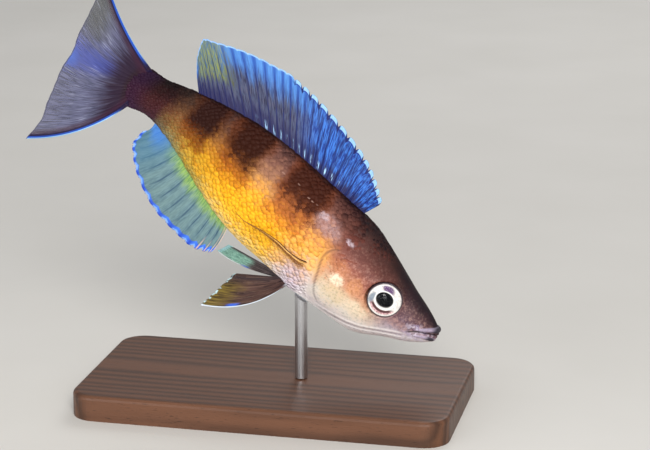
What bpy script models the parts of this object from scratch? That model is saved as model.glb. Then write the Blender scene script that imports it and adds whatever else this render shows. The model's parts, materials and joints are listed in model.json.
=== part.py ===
"""A male Cyprichromis zonatus, life size, swimming nose-down on a plain display stand.

The fish is modelled straight, in its own frame: s runs back from the snout, y to its left and z to
its back. Then its tail is bent to its right, and the whole fish is tipped nose-down over the stand.
Lengths are in millimetres until a mesh is placed.
"""
import math

import bpy
import bmesh
import numpy as np

MM = 0.001
GAP = 0.3

# The fish as a whole
STANDARD_LENGTH = 92.0
NOSE_DOWN = math.radians(38.46)
SNOUT_AT = (38.0, 0.0, 19.0)
TAIL_BEND_START = 68.0
TAIL_BEND = math.radians(26.0)

# The body's outline from the side, as (distance behind the snout, height), and its half width
BACK = ((0.0, 0.5), (1.6, 1.8), (5.1, 3.3), (9.8, 4.8), (14.4, 6.5), (21.4, 9.0), (26.0, 10.4),
        (30.6, 11.0), (42.0, 11.4), (51.2, 11.6), (60.4, 11.15), (69.5, 9.55), (78.6, 7.4),
        (85.7, 6.05), (90.0, 5.9), (93.0, 6.3))
BELLY = ((0.0, -2.3), (1.5, -3.8), (4.8, -6.4), (9.3, -8.95), (13.8, -12.0), (16.5, -13.15),
         (20.6, -13.7), (29.8, -14.5), (33.4, -14.8), (36.6, -14.3), (50.4, -13.7), (55.0, -12.9),
         (59.6, -11.7), (68.9, -8.6), (73.5, -6.8), (80.6, -4.65), (84.0, -4.15), (87.8, -4.4),
         (93.0, -6.2))
HALF_WIDTH = ((0.0, 0.9), (1.0, 1.7), (5.0, 3.4), (9.6, 4.6), (16.5, 5.8), (25.6, 6.4), (33.9, 6.4),
              (46.2, 5.9), (55.4, 5.1), (64.5, 4.1), (73.7, 2.9), (80.6, 2.2), (86.3, 1.6), (93.0, 0.8))
BODY_REACH = 93.0
BODY_STATIONS = 44
BODY_SIDES = 36
SIDE_ROUNDNESS = 1.12
CUT_REACH = 12.0
CUT_POINTS = 15

# Cuts that part the body, as (height, distance behind the snout)
NECK_CUT = ((16.0, 28.4), (11.0, 28.9), (3.0, 31.0), (-1.0, 32.5), (-3.0, 32.3), (-6.5, 30.7),
            (-11.0, 28.3), (-17.0, 26.4))
TAIL_STEM_CUT = ((16.0, 77.4), (7.5, 78.0), (1.0, 80.0), (-6.0, 81.6), (-12.0, 82.0))
TAIL_END = ((11.0, 87.6), (5.9, 89.6), (3.6, 91.4), (0.8, 92.2), (-2.0, 91.4), (-4.6, 89.2), (-11.0, 86.0))
MOUTH_CUT = ((-3.0, -0.2), (0.6, -0.2), (4.3, -1.75), (6.5, -3.7), (7.5, -9.0), (7.5, -14.0))

# Mouth and lips
UPPER_LIP = ((0.75, 0.95, 0.0), (1.1, 0.8, 1.2), (2.4, 0.15, 2.1), (4.0, -0.85, 2.9))
LOWER_LIP = ((0.35, -1.35, 0.0), (0.8, -1.45, 1.15), (2.2, -1.85, 2.0), (3.9, -2.65, 2.75))
LIP_RADIUS = 0.78
LIP_END_RADIUS = 0.42
LIP_SIDES = 8
LIP_STEPS = 19

# Eyes, nostrils and gill covers
EYE_AT = (15.0, -0.05)
EYE_RADIUS = 4.05
EYE_DEPTH = 2.7
EYE_STANDS_OUT = 0.55
EYE_RIM = 0.38
EYE_RIM_STEPS = 26
EYE_RIM_SIDES = 6
NOSTRIL_AT = (7.7, 2.6)
NOSTRIL_RADIUS = 0.5
GILL_TOP, GILL_BOTTOM = 2.2, -11.0
GILL_FRONT = ((2.2, 23.4), (-4.9, 22.0), (-9.0, 21.6), (-11.0, 23.2))
GILL_REAR = ((2.2, 29.4), (-0.2, 31.0), (-2.6, 31.0), (-6.5, 29.3), (-9.8, 27.8), (-11.0, 26.6))
GILL_PLATE = 1.1
GILL_PROUD = 0.2
GILL_GRID = (11, 7)

# Fins: each row is one ray's base and tip, and the fin is smooth between the rows
FIN_HALF = 0.26
FIN_TIP_HALF = 0.15
RAY_RIDGE = 0.2
RAY_FOOT = 0.3
DORSAL_RAYS = 29
DORSAL_SPINES = 14
DORSAL = ((30.9, 29.1, 15.7), (34.0, 33.6, 18.8), (38.0, 39.6, 21.6), (43.0, 48.0, 23.7),
          (48.0, 56.5, 24.7), (52.5, 62.9, 25.0), (57.0, 68.5, 23.8), (63.0, 75.5, 22.0),
          (69.0, 81.2, 20.0), (73.0, 84.0, 18.5), (75.5, 82.7, 14.6), (77.0, 80.0, 10.8))
ANAL_RAYS = 14
ANAL = ((52.8, 51.8, -20.5), (54.6, 53.6, -21.9), (57.0, 56.6, -22.8), (60.0, 60.6, -22.8),
        (64.0, 66.0, -22.1), (68.0, 71.2, -20.7), (72.0, 76.6, -17.5), (75.5, 80.2, -14.2),
        (78.5, 82.1, -11.3), (80.9, 82.0, -7.6))
TAIL_RAYS = 17
TAIL = ((5.6, 111.5, 19.8), (4.8, 109.6, 14.5), (3.4, 108.8, 9.6), (2.0, 107.8, 4.2), (0.9, 106.6, 0.0),
        (-0.3, 106.2, -4.2), (-1.4, 105.2, -9.0), (-2.5, 104.0, -14.0), (-3.5, 102.6, -18.8),
        (-4.4, 102.8, -24.6))
TAIL_UPPER_BOW = (-0.7, 0.0, -1.2)
TAIL_LOWER_BOW = (1.9, 0.0, -1.4)
PELVIC_RAYS = 6
PELVIC_BASE = ((33.7, 1.9), (35.9, 0.9))
RIGHT_PELVIC = ((12.2, 17.6, -9.6), (8.8, 7.1, -2.9), (2.0, 0.0, -1.6))
LEFT_PELVIC = ((18.2, 13.0, -11.0), (14.4, 8.1, -5.2), (-0.5, 0.0, -1.6))
PECTORAL_RAYS = 8
PECTORAL = ((33.1, -4.2, 46.5, -6.6), (33.3, -5.1, 52.8, -7.0), (33.4, -6.1, 48.0, -9.1),
            (33.3, -7.0, 41.0, -9.9))
PECTORAL_ARCH = 1.3
PECTORAL_ROWS = 6
PECTORAL_SPREAD = 1.1

# Stand
BASE_SIZE = (88.0, 46.0, 6.0)
BASE_CORNER = 6.0
BASE_EDGE = 1.0
ROD_RADIUS = 1.5
ROD_BEHIND_SNOUT = 29.3
ROD_SIDES = 20


def clear_scene():
    for item in list(bpy.data.objects):
        bpy.data.objects.remove(item, do_unlink=True)


def smooth_curve(points):
    """A function through (at, value) points that is smooth and never overshoots them."""
    points = sorted(points)
    at = np.array([p[0] for p in points])
    value = np.array([p[1] for p in points])
    slope = np.diff(value) / np.diff(at)
    tangent = np.concatenate(([slope[0]], np.zeros(len(at) - 2), [slope[-1]]))
    for i in range(1, len(at) - 1):
        if slope[i - 1] * slope[i] > 0:
            tangent[i] = 2 * slope[i - 1] * slope[i] / (slope[i - 1] + slope[i])

    def value_at(x):
        i = int(np.clip(np.searchsorted(at, x) - 1, 0, len(at) - 2))
        width = at[i + 1] - at[i]
        t = float(np.clip((x - at[i]) / width, 0.0, 1.0))
        start = value[i] * (1 + 2 * t) * (1 - t) ** 2 + tangent[i] * width * t * (1 - t) ** 2
        end = value[i + 1] * t * t * (3 - 2 * t) + tangent[i + 1] * width * t * t * (t - 1)
        return float(start + end)
    return value_at


back_at = smooth_curve(BACK)
belly_at = smooth_curve(BELLY)
half_width_at = smooth_curve(HALF_WIDTH)


def side_at(s, z):
    """Half width of the body at height z, s behind the snout."""
    middle, half = (back_at(s) + belly_at(s)) / 2, (back_at(s) - belly_at(s)) / 2
    part = float(np.clip((z - middle) / half, -0.999, 0.999))
    return half_width_at(s) * (1 - part * part) ** (SIDE_ROUNDNESS / 2)


def belly_under(s, y):
    """Height of the belly's surface y to the side of the middle."""
    middle, half = (back_at(s) + belly_at(s)) / 2, (back_at(s) - belly_at(s)) / 2
    part = min(abs(y) / half_width_at(s), 0.99) ** (1 / SIDE_ROUNDNESS)
    return middle - half * math.sqrt(1 - part * part)


def material(name, colour, roughness, metallic=0.0):
    made = bpy.data.materials.new(name)
    made.use_nodes = True
    shader = made.node_tree.nodes["Principled BSDF"]
    shader.inputs["Base Color"].default_value = (*colour, 1.0)
    shader.inputs["Roughness"].default_value = roughness
    shader.inputs["Metallic"].default_value = metallic
    return made


def face_outward(mesh):
    """Turns a closed bmesh's faces to point out of it."""
    bmesh.ops.recalc_face_normals(mesh, faces=mesh.faces)
    if mesh.calc_volume(signed=True) < 0:
        bmesh.ops.reverse_faces(mesh, faces=mesh.faces)


def new_object(name, vertices, faces, look=None):
    """A mesh object with its faces pointing out."""
    data = bpy.data.meshes.new(name)
    data.from_pydata([tuple(v) for v in vertices], [], [tuple(f) for f in faces])
    made = bpy.data.objects.new(name, data)
    bpy.context.collection.objects.link(made)
    if look is not None:
        data.materials.append(look)
    mesh = bmesh.new()
    mesh.from_mesh(data)
    face_outward(mesh)
    mesh.to_mesh(data)
    mesh.free()
    return made


def boolean(target, tool, operation):
    """Applies one Boolean and removes the tool."""
    modifier = target.modifiers.new("boolean", 'BOOLEAN')
    modifier.operation = operation
    modifier.object = tool
    view = bpy.context.evaluated_depsgraph_get()
    result = bpy.data.meshes.new_from_object(target.evaluated_get(view))
    target.modifiers.clear()
    target.data = result
    bpy.data.objects.remove(tool, do_unlink=True)


def keep_largest(mesh):
    """Keeps the largest closed surface of a bmesh."""
    unseen = set(mesh.verts)
    islands = []
    while unseen:
        island, edge_of_search = set(), [unseen.pop()]
        while edge_of_search:
            vertex = edge_of_search.pop()
            island.add(vertex)
            linked = {e.other_vert(vertex) for e in vertex.link_edges} & unseen
            unseen -= linked
            edge_of_search.extend(linked)
        islands.append(island)
    islands.sort(key=len)
    for island in islands[:-1]:
        bmesh.ops.delete(mesh, geom=list(island), context='VERTS')


def bent(s, y, z):
    """Place of a point of the straight fish once its tail is bent to its right."""
    if s <= TAIL_BEND_START:
        return (-s, y, z)
    radius = (STANDARD_LENGTH - TAIL_BEND_START) / TAIL_BEND
    turn = min((s - TAIL_BEND_START) / radius, TAIL_BEND)
    beyond = max(s - STANDARD_LENGTH, 0.0)
    back = TAIL_BEND_START + radius * math.sin(turn) + beyond * math.cos(turn)
    right = radius * (1 - math.cos(turn)) + beyond * math.sin(turn)
    return (-back + y * -math.sin(turn), -right + y * math.cos(turn), z)


def place(made, fish):
    """Bends and scales a finished piece, and hangs it on the fish's empty."""
    mesh = bmesh.new()
    mesh.from_mesh(made.data)
    bmesh.ops.remove_doubles(mesh, verts=mesh.verts, dist=0.004)
    keep_largest(mesh)
    bmesh.ops.triangulate(mesh, faces=mesh.faces)
    for vertex in mesh.verts:
        place_at = bent(-vertex.co.x, vertex.co.y, vertex.co.z)
        vertex.co = [c * MM for c in place_at]
    face_outward(mesh)
    mesh.to_mesh(made.data)
    mesh.free()
    made.data.shade_smooth()
    made.data.set_sharp_from_angle(angle=math.radians(40))
    made.parent = fish


def body(name, look):
    """The whole body as one loft of oval rings."""
    vertices, faces = [(0.35, 0.0, (BACK[0][1] + BELLY[0][1]) / 2)], []
    for i in range(BODY_STATIONS + 1):
        s = BODY_REACH * (i / BODY_STATIONS) ** 1.3
        middle, half = (back_at(s) + belly_at(s)) / 2, (back_at(s) - belly_at(s)) / 2
        for k in range(BODY_SIDES):
            angle = 2 * math.pi * k / BODY_SIDES
            across = math.copysign(abs(math.cos(angle)) ** SIDE_ROUNDNESS, math.cos(angle))
            vertices.append((-s, half_width_at(s) * across, middle + half * math.sin(angle)))
    for i in range(BODY_STATIONS):
        for k in range(BODY_SIDES):
            a, b = 1 + i * BODY_SIDES + k, 1 + i * BODY_SIDES + (k + 1) % BODY_SIDES
            faces.append((a, b, b + BODY_SIDES, a + BODY_SIDES))
    faces += [(0, 1 + (k + 1) % BODY_SIDES, 1 + k) for k in range(BODY_SIDES)]
    faces.append([1 + BODY_STATIONS * BODY_SIDES + k for k in range(BODY_SIDES)])
    return new_object(name, vertices, faces, look)


def prism(outline):
    """A cutter right across the fish from an outline of (s, z) points."""
    count = len(outline)
    vertices = [(-s, side * CUT_REACH, z) for side in (-1, 1) for s, z in outline]
    faces = [list(range(count)), list(range(2 * count - 1, count - 1, -1))]
    faces += [(i, i + count, (i + 1) % count + count, (i + 1) % count) for i in range(count)]
    return new_object("cutter", vertices, faces)


def cut_line(cut, by):
    """A cut given as (z, s) rows, as a smooth line of (s, z) points from high to low, moved back."""
    line = smooth_curve(cut)
    heights = np.linspace(cut[0][0], cut[-1][0], CUT_POINTS)
    return [(line(z) + by, z) for z in heights]


def ball(at, radii, tilt=(0.0, 0.0), segments=20, rings=10):
    """An ellipsoid at (x, y, z), its short axis along y before the tilt (pitch, yaw)."""
    made = new_object("ball", [], [])
    mesh = bmesh.new()
    bmesh.ops.create_uvsphere(mesh, u_segments=segments, v_segments=rings, radius=1.0)
    pitch, yaw = tilt
    for vertex in mesh.verts:
        x, y, z = vertex.co.x * radii[0], vertex.co.z * radii[1], vertex.co.y * radii[2]
        y, z = y * math.cos(pitch) - z * math.sin(pitch), y * math.sin(pitch) + z * math.cos(pitch)
        x, y = x * math.cos(yaw) - y * math.sin(yaw), x * math.sin(yaw) + y * math.cos(yaw)
        vertex.co = (x + at[0], y + at[1], z + at[2])
    face_outward(mesh)
    mesh.to_mesh(made.data)
    mesh.free()
    return made


def tube(path, radii, sides):
    """A closed tube along a path of (x, y, z) points."""
    path = np.array(path)
    along = np.gradient(path, axis=0)
    along /= np.linalg.norm(along, axis=1)[:, None]
    vertices, faces = [], []
    for point, direction, radius in zip(path, along, radii):
        first = np.cross(direction, (0.0, 0.0, 1.0))
        first /= np.linalg.norm(first)
        second = np.cross(first, direction)
        for k in range(sides):
            angle = 2 * math.pi * k / sides
            vertices.append(point + radius * (math.cos(angle) * first + math.sin(angle) * second))
    for i in range(len(path) - 1):
        for k in range(sides):
            a, b = i * sides + k, i * sides + (k + 1) % sides
            faces.append((a, b, b + sides, a + sides))
    faces.append(list(range(sides - 1, -1, -1)))
    faces.append([(len(path) - 1) * sides + k for k in range(sides)])
    return new_object("tube", vertices, faces)


def lip(rows):
    """A lip from one corner of the mouth to the other, from (back, height, side) rows of its left half."""
    left = [(-s, y, z) for s, z, y in rows]
    anchors = [(x, -y, z) for x, y, z in left[:0:-1]] + left
    steps = np.linspace(0, len(anchors) - 1, LIP_STEPS)
    lines = [smooth_curve([(i, a[axis]) for i, a in enumerate(anchors)]) for axis in range(3)]
    path = [[line(step) for line in lines] for step in steps]
    middle = (len(anchors) - 1) / 2
    radii = [LIP_RADIUS + (LIP_END_RADIUS - LIP_RADIUS) * abs(step / middle - 1) for step in steps]
    return tube(path, radii, LIP_SIDES)


def eye_centre(side):
    s, z = EYE_AT
    return (-s, side * (side_at(s, z) + EYE_STANDS_OUT - EYE_DEPTH), z)


def eye_tilt(side):
    """Each eye looks a little up and a little forward."""
    return (side * math.radians(7.0), -side * math.radians(9.0))


def eye_ring(side):
    """The raised rim of skin round the eye."""
    centre = np.array(eye_centre(side))
    pitch, yaw = eye_tilt(side)
    path = []
    for k in range(EYE_RIM_STEPS):
        angle = 2 * math.pi * k / EYE_RIM_STEPS
        x, z = (EYE_RADIUS + EYE_RIM) * math.cos(angle), (EYE_RADIUS + EYE_RIM) * math.sin(angle)
        y = -z * math.sin(pitch)
        x, y = x * math.cos(yaw) - y * math.sin(yaw), x * math.sin(yaw) + y * math.cos(yaw)
        point = centre + (x, y, z * math.cos(pitch))
        point[1] = side * (side_at(-point[0], point[2]) - 0.05)
        path.append(point)
    vertices, faces, sides = [], [], EYE_RIM_SIDES
    for point in path:
        outward = (point - centre) * (1, 0, 1)
        outward /= np.linalg.norm(outward)
        for j in range(sides):
            angle = 2 * math.pi * j / sides
            vertices.append(point + EYE_RIM * (math.cos(angle) * outward
                                               + math.sin(angle) * np.array((0, side, 0))))
    for k in range(len(path)):
        for j in range(sides):
            a, b = k * sides + j, k * sides + (j + 1) % sides
            c, d = (k + 1) % len(path) * sides + j, (k + 1) % len(path) * sides + (j + 1) % sides
            faces.append((a, b, d, c))
    return new_object("ring", vertices, faces)


def gill_patch(name, side, wider, inner, outer, look=None):
    """The gill cover's shape on the cheek, between two depths from the skin, grown by a margin."""
    rear, front = smooth_curve(GILL_REAR), smooth_curve(GILL_FRONT)
    rows, columns = GILL_GRID
    points = np.zeros((rows, columns, 2))
    for r in range(rows):
        z = GILL_TOP + (GILL_BOTTOM - GILL_TOP) * r / (rows - 1)
        for c in range(columns):
            part = c / (columns - 1)
            s = front(z) + (rear(z) - front(z)) * part + wider * (2 * part - 1)
            points[r, c] = (s, z + wider * (1 - 2 * r / (rows - 1)))
    faces_out = []
    vertices = []
    for depth in (outer, inner):
        for s, z in points.reshape(-1, 2):
            vertices.append((-s, side * (side_at(s, z) + depth), z))
    total = rows * columns
    for r in range(rows - 1):
        for c in range(columns - 1):
            a = r * columns + c
            faces_out += [(a, a + 1, a + columns + 1), (a, a + columns + 1, a + columns)]
    faces = faces_out + [(a + total, c + total, b + total) for a, b, c in faces_out]
    rim = [c for c in range(columns)] + [r * columns + columns - 1 for r in range(1, rows)]
    rim += [(rows - 1) * columns + c for c in range(columns - 2, -1, -1)]
    rim += [r * columns for r in range(rows - 2, 0, -1)]
    for a, b in zip(rim, rim[1:] + rim[:1]):
        faces.append((a, a + total, b + total, b))
    return new_object(name, vertices, faces, look)


def plate(name, middle, half, look):
    """A closed plate round a grid of middle points, with both faces split into the same triangles."""
    rows, columns = half.shape
    down, across = np.gradient(middle, axis=0), np.gradient(middle, axis=1)
    normal = np.cross(down, across)
    normal /= np.linalg.norm(normal, axis=2)[:, :, None]
    offset = normal * half[:, :, None]
    vertices = np.concatenate(((middle + offset).reshape(-1, 3), (middle - offset).reshape(-1, 3)))
    total, one_side = rows * columns, []
    for r in range(rows - 1):
        for c in range(columns - 1):
            a = r * columns + c
            one_side += [(a, a + 1, a + columns + 1), (a, a + columns + 1, a + columns)]
    faces = one_side + [(a + total, c + total, b + total) for a, b, c in one_side]
    rim = list(range(columns)) + [r * columns + columns - 1 for r in range(1, rows)]
    rim += [(rows - 1) * columns + c for c in range(columns - 2, -1, -1)]
    rim += [r * columns for r in range(rows - 2, 0, -1)]
    faces += [(a, a + total, b + total, b) for a, b in zip(rim, rim[1:] + rim[:1])]
    return new_object(name, vertices, faces, look)


def ray_columns(count):
    """Columns over a fin as (place from 0 to 1, on a ray or not): a crest and two feet for each ray."""
    columns = [(0.0, False)]
    for i in range(count):
        middle = (i + 0.5) / count
        columns += [(middle - RAY_FOOT / count, False), (middle, True), (middle + RAY_FOOT / count, False)]
    return columns + [(1.0, False)]


def fin(name, look, count, rows, base, tip, bow, lappet=lambda part: 0.0):
    """A fin from functions of the place along it: base and tip points, and a bow of its rays."""
    columns = ray_columns(count)
    middle = np.zeros((rows, len(columns), 3))
    half = np.zeros((rows, len(columns)))
    for c, (part, on_ray) in enumerate(columns):
        root, end = np.array(base(part)), np.array(tip(part))
        length = np.linalg.norm(end - root)
        reach = 1.0 if on_ray else 1.0 - lappet(part) / length
        for r in range(rows):
            t = reach * r / (rows - 1)
            middle[r, c] = root + (end - root) * t + np.array(bow(part)) * 4 * t * (1 - t)
            last = r == rows - 1
            thick = FIN_TIP_HALF if last else FIN_HALF
            half[r, c] = thick + (RAY_RIDGE * (1 - 0.7 * t) if on_ray else 0.0)
    return plate(name, middle, half, look)


def row_curves(rows):
    """One smooth curve for each column of a table of rays, over the fin from 0 to 1."""
    places = np.linspace(0.0, 1.0, len(rows))
    return [smooth_curve(list(zip(places, values))) for values in zip(*rows)]


def dorsal_fin(look):
    base_s, tip_s, tip_z = row_curves(DORSAL)
    spiny = DORSAL_SPINES / DORSAL_RAYS
    return fin("dorsal_fin", look, DORSAL_RAYS, 8,
               lambda p: (-base_s(p), 0.0, back_at(base_s(p)) + GAP),
               lambda p: (-tip_s(p), 0.0, tip_z(p)),
               lambda p: (-0.5 * p, 0.0, 0.5 * p),
               lambda p: 1.1 if p < spiny else 0.4)


def anal_fin(look):
    base_s, tip_s, tip_z = row_curves(ANAL)
    return fin("anal_fin", look, ANAL_RAYS, 7,
               lambda p: (-base_s(p), 0.0, belly_at(base_s(p)) - GAP),
               lambda p: (-tip_s(p), 0.0, tip_z(p)),
               lambda p: (0.3 + 0.3 * p, 0.0, -0.6 * p),
               lambda p: 0.5)


def tail_fin(look):
    base_z, tip_s, tip_z = row_curves(TAIL)
    end = smooth_curve(TAIL_END)
    return fin("tail_fin", look, TAIL_RAYS, 10,
               lambda p: (-(end(base_z(p)) + GAP), 0.0, base_z(p)),
               lambda p: (-tip_s(p), 0.0, tip_z(p)),
               lambda p: [a + (b - a) * p for a, b in zip(TAIL_UPPER_BOW, TAIL_LOWER_BOW)],
               lambda p: 0.4)


def pelvic_fin(name, side, rays, look):
    leading, trailing, bow = np.array(rays)

    def base(part):
        s, y = (a + (b - a) * part for a, b in zip(*PELVIC_BASE))
        return (-s, side * y, belly_under(s, y) - GAP - FIN_HALF)

    def tip(part):
        back, out, up = leading + (trailing - leading) * part ** 0.8
        x, y, z = base(part)
        return (x - back, y + side * out, z + up)

    return fin(name, look, PELVIC_RAYS, 8, base, tip, lambda p: bow * (1 - p), lambda p: 0.3)


def pectoral_fin(name, side, look):
    base_s, base_z, tip_s, tip_z = row_curves(PECTORAL)
    columns = ray_columns(PECTORAL_RAYS)
    rows = PECTORAL_ROWS
    middle = np.zeros((rows, len(columns), 3))
    half = np.zeros((rows, len(columns)))
    for c, (part, on_ray) in enumerate(columns):
        for r in range(rows):
            t = r / (rows - 1)
            s = base_s(part) + (tip_s(part) - base_s(part)) * t
            z = base_z(part) + (tip_z(part) - base_z(part)) * t
            z += PECTORAL_ARCH * (1 - part) * math.sin(math.pi * t)
            thick = FIN_TIP_HALF if r == rows - 1 else FIN_HALF
            half[r, c] = thick + (0.6 * RAY_RIDGE if on_ray else 0.0)
            clear = GAP + FIN_HALF + 0.6 * RAY_RIDGE + PECTORAL_SPREAD * t
            middle[r, c] = (-s, side * (side_at(s, z) + clear), z)
    return plate(name, middle, half, look)


def stand_base(look):
    """A flat board with rounded corners and softened edges."""
    made = new_object("stand_base", [], [], look)
    mesh = bmesh.new()
    bmesh.ops.create_cube(mesh, size=1.0)
    for vertex in mesh.verts:
        vertex.co = [c * size * MM for c, size in zip(vertex.co, BASE_SIZE)]
        vertex.co.z += BASE_SIZE[2] / 2 * MM
    upright = [e for e in mesh.edges if abs(e.verts[0].co.z - e.verts[1].co.z) > 1e-6]
    bmesh.ops.bevel(mesh, geom=upright, offset=BASE_CORNER * MM, segments=8, affect='EDGES', profile=0.5)
    top = [e for e in mesh.edges if min(v.co.z for v in e.verts) > (BASE_SIZE[2] - 0.01) * MM]
    bmesh.ops.bevel(mesh, geom=top, offset=BASE_EDGE * MM, segments=3, affect='EDGES', profile=0.5)
    mesh.to_mesh(made.data)
    mesh.free()
    made.data.shade_smooth()
    made.data.set_sharp_from_angle(angle=math.radians(35))
    return made


def on_stand(s, z):
    """Place over the stand, in x and z, of a point of the fish's middle plane."""
    x = SNOUT_AT[0] - s * math.cos(NOSE_DOWN) + z * math.sin(NOSE_DOWN)
    return x, SNOUT_AT[2] + s * math.sin(NOSE_DOWN) + z * math.cos(NOSE_DOWN)


def stand_rod(look):
    """A round rod from the board up to the breast, its end cut to the breast's slope."""
    s = ROD_BEHIND_SNOUT
    x, top = on_stand(s, belly_at(s) - GAP)
    ahead, behind = on_stand(s - 1, belly_at(s - 1)), on_stand(s + 1, belly_at(s + 1))
    slope = (behind[1] - ahead[1]) / (behind[0] - ahead[0])
    foot = BASE_SIZE[2] + GAP
    vertices = []
    for k in range(ROD_SIDES):
        angle = 2 * math.pi * k / ROD_SIDES
        dx, dy = ROD_RADIUS * math.cos(angle), ROD_RADIUS * math.sin(angle)
        vertices += [((x + dx) * MM, dy * MM, foot * MM), ((x + dx) * MM, dy * MM, (top + slope * dx) * MM)]
    lower, upper = list(range(0, 2 * ROD_SIDES, 2)), list(range(1, 2 * ROD_SIDES, 2))
    faces = [lower[::-1], upper]
    for k in range(ROD_SIDES):
        n = (k + 1) % ROD_SIDES
        faces.append((lower[k], lower[n], upper[n], upper[k]))
    made = new_object("stand_rod", vertices, faces, look)
    made.data.shade_smooth()
    made.data.set_sharp_from_angle(angle=math.radians(35))
    return made


def head(look):
    made = body("head", look)
    front = [(-4.0, 16.0)] + cut_line(NECK_CUT, -GAP / 2) + [(-4.0, -17.0)]
    boolean(made, prism(front), 'INTERSECT')
    jaw_room = [(s + (GAP if s > 5 else 0.0), z + (GAP if s < 7 else 0.0)) for s, z in MOUTH_CUT]
    boolean(made, prism(jaw_room + [(-3.0, -14.0)]), 'DIFFERENCE')
    boolean(made, lip(UPPER_LIP), 'UNION')
    for side in (-1, 1):
        boolean(made, eye_ring(side), 'UNION')
        radii = (EYE_RADIUS + GAP, EYE_DEPTH + GAP, EYE_RADIUS + GAP)
        boolean(made, ball(eye_centre(side), radii, eye_tilt(side)), 'DIFFERENCE')
        s, z = NOSTRIL_AT
        nostril = ball((-s, side * side_at(s, z), z), [NOSTRIL_RADIUS] * 3, segments=10, rings=6)
        boolean(made, nostril, 'DIFFERENCE')
        pocket = gill_patch("pocket", side, GAP, GILL_PROUD - GILL_PLATE - GAP, 3.0)
        boolean(made, pocket, 'DIFFERENCE')
    return made


def lower_jaw(look):
    made = body("lower_jaw", look)
    boolean(made, prism(list(MOUTH_CUT) + [(-3.0, -14.0)]), 'INTERSECT')
    boolean(made, lip(LOWER_LIP), 'UNION')
    return made


def trunk(look):
    made = body("trunk", look)
    outline = cut_line(NECK_CUT, GAP / 2) + cut_line(TAIL_STEM_CUT, -GAP / 2)[::-1]
    boolean(made, prism(outline), 'INTERSECT')
    return made


def tail_stem(look):
    made = body("tail_stem", look)
    outline = cut_line(TAIL_STEM_CUT, GAP / 2) + cut_line(TAIL_END, 0.0)[::-1]
    boolean(made, prism(outline), 'INTERSECT')
    return made


def eye(name, side, look):
    made = ball(eye_centre(side), (EYE_RADIUS, EYE_DEPTH, EYE_RADIUS), eye_tilt(side))
    made.name = name
    made.data.materials.append(look)
    return made


def build():
    clear_scene()
    fish = bpy.data.objects.new("fish", None)
    bpy.context.collection.objects.link(fish)
    fish.location = [c * MM for c in SNOUT_AT]
    fish.rotation_euler = (0.0, NOSE_DOWN, 0.0)
    fin_blue = material("dorsal_membrane", (0.05, 0.16, 0.62), 0.45)
    paired = material("pelvic_membrane", (0.25, 0.16, 0.06), 0.45)
    clear = material("pectoral_membrane", (0.72, 0.62, 0.48), 0.35)
    cover = material("gill_cover_skin", (0.55, 0.42, 0.28), 0.35)
    glass = material("eye_lens", (0.75, 0.72, 0.68), 0.12)
    pieces = [
        head(material("head_skin", (0.20, 0.10, 0.08), 0.4)),
        lower_jaw(material("jaw_skin", (0.42, 0.34, 0.38), 0.4)),
        trunk(material("trunk_skin", (0.78, 0.40, 0.05), 0.38)),
        tail_stem(material("tail_stem_skin", (0.16, 0.06, 0.07), 0.4)),
        gill_patch("gill_cover_right", -1, 0.0, GILL_PROUD - GILL_PLATE, GILL_PROUD, cover),
        gill_patch("gill_cover_left", 1, 0.0, GILL_PROUD - GILL_PLATE, GILL_PROUD, cover),
        eye("eye_right", -1, glass),
        eye("eye_left", 1, glass),
        dorsal_fin(fin_blue),
        anal_fin(material("anal_membrane", (0.14, 0.28, 0.42), 0.45)),
        tail_fin(material("tail_membrane", (0.20, 0.19, 0.36), 0.45)),
        pelvic_fin("pelvic_fin_right", -1, RIGHT_PELVIC, paired),
        pelvic_fin("pelvic_fin_left", 1, LEFT_PELVIC, paired),
        pectoral_fin("pectoral_fin_right", -1, clear),
        pectoral_fin("pectoral_fin_left", 1, clear),
    ]
    for piece in pieces:
        place(piece, fish)
    stand_base(material("stand_wood", (0.045, 0.030, 0.022), 0.5))
    stand_rod(material("stand_steel", (0.55, 0.55, 0.56), 0.3, 1.0))


build()
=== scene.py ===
# %% [markdown]
# # A male Cyprichromis zonatus on a display stand
# The fish is a slim open-water cichlid with orange-yellow flanks, dark bars, a blue dorsal fin and long
# pelvic fins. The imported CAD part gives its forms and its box. This script gives it skin, scales, eyes,
# fine fins and the finishes of the stand. It could be painted on the CAD solids, but a fish is seen by its
# small relief, so a finer skin, coat and fins take the solids' place and the stand keeps its own.

# %% Load the part and keep its box
import json
import math

import bmesh
import bpy
import numpy as np
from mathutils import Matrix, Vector

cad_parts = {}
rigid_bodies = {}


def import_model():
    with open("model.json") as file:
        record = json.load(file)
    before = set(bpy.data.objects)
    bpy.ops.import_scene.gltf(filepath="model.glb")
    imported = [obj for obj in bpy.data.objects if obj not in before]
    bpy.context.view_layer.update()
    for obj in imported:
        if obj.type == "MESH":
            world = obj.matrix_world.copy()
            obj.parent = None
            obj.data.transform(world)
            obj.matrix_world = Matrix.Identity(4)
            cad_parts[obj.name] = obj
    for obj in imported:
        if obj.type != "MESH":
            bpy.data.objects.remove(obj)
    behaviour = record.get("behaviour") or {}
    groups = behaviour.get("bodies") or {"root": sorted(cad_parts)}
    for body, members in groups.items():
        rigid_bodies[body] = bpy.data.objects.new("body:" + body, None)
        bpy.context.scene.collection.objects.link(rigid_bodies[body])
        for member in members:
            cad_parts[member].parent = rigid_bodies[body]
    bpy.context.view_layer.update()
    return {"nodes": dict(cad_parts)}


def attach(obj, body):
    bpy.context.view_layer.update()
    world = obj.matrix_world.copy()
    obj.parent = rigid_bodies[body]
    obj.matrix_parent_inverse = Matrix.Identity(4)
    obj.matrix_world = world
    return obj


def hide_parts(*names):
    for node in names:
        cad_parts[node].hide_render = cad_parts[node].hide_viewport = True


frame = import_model()

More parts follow.
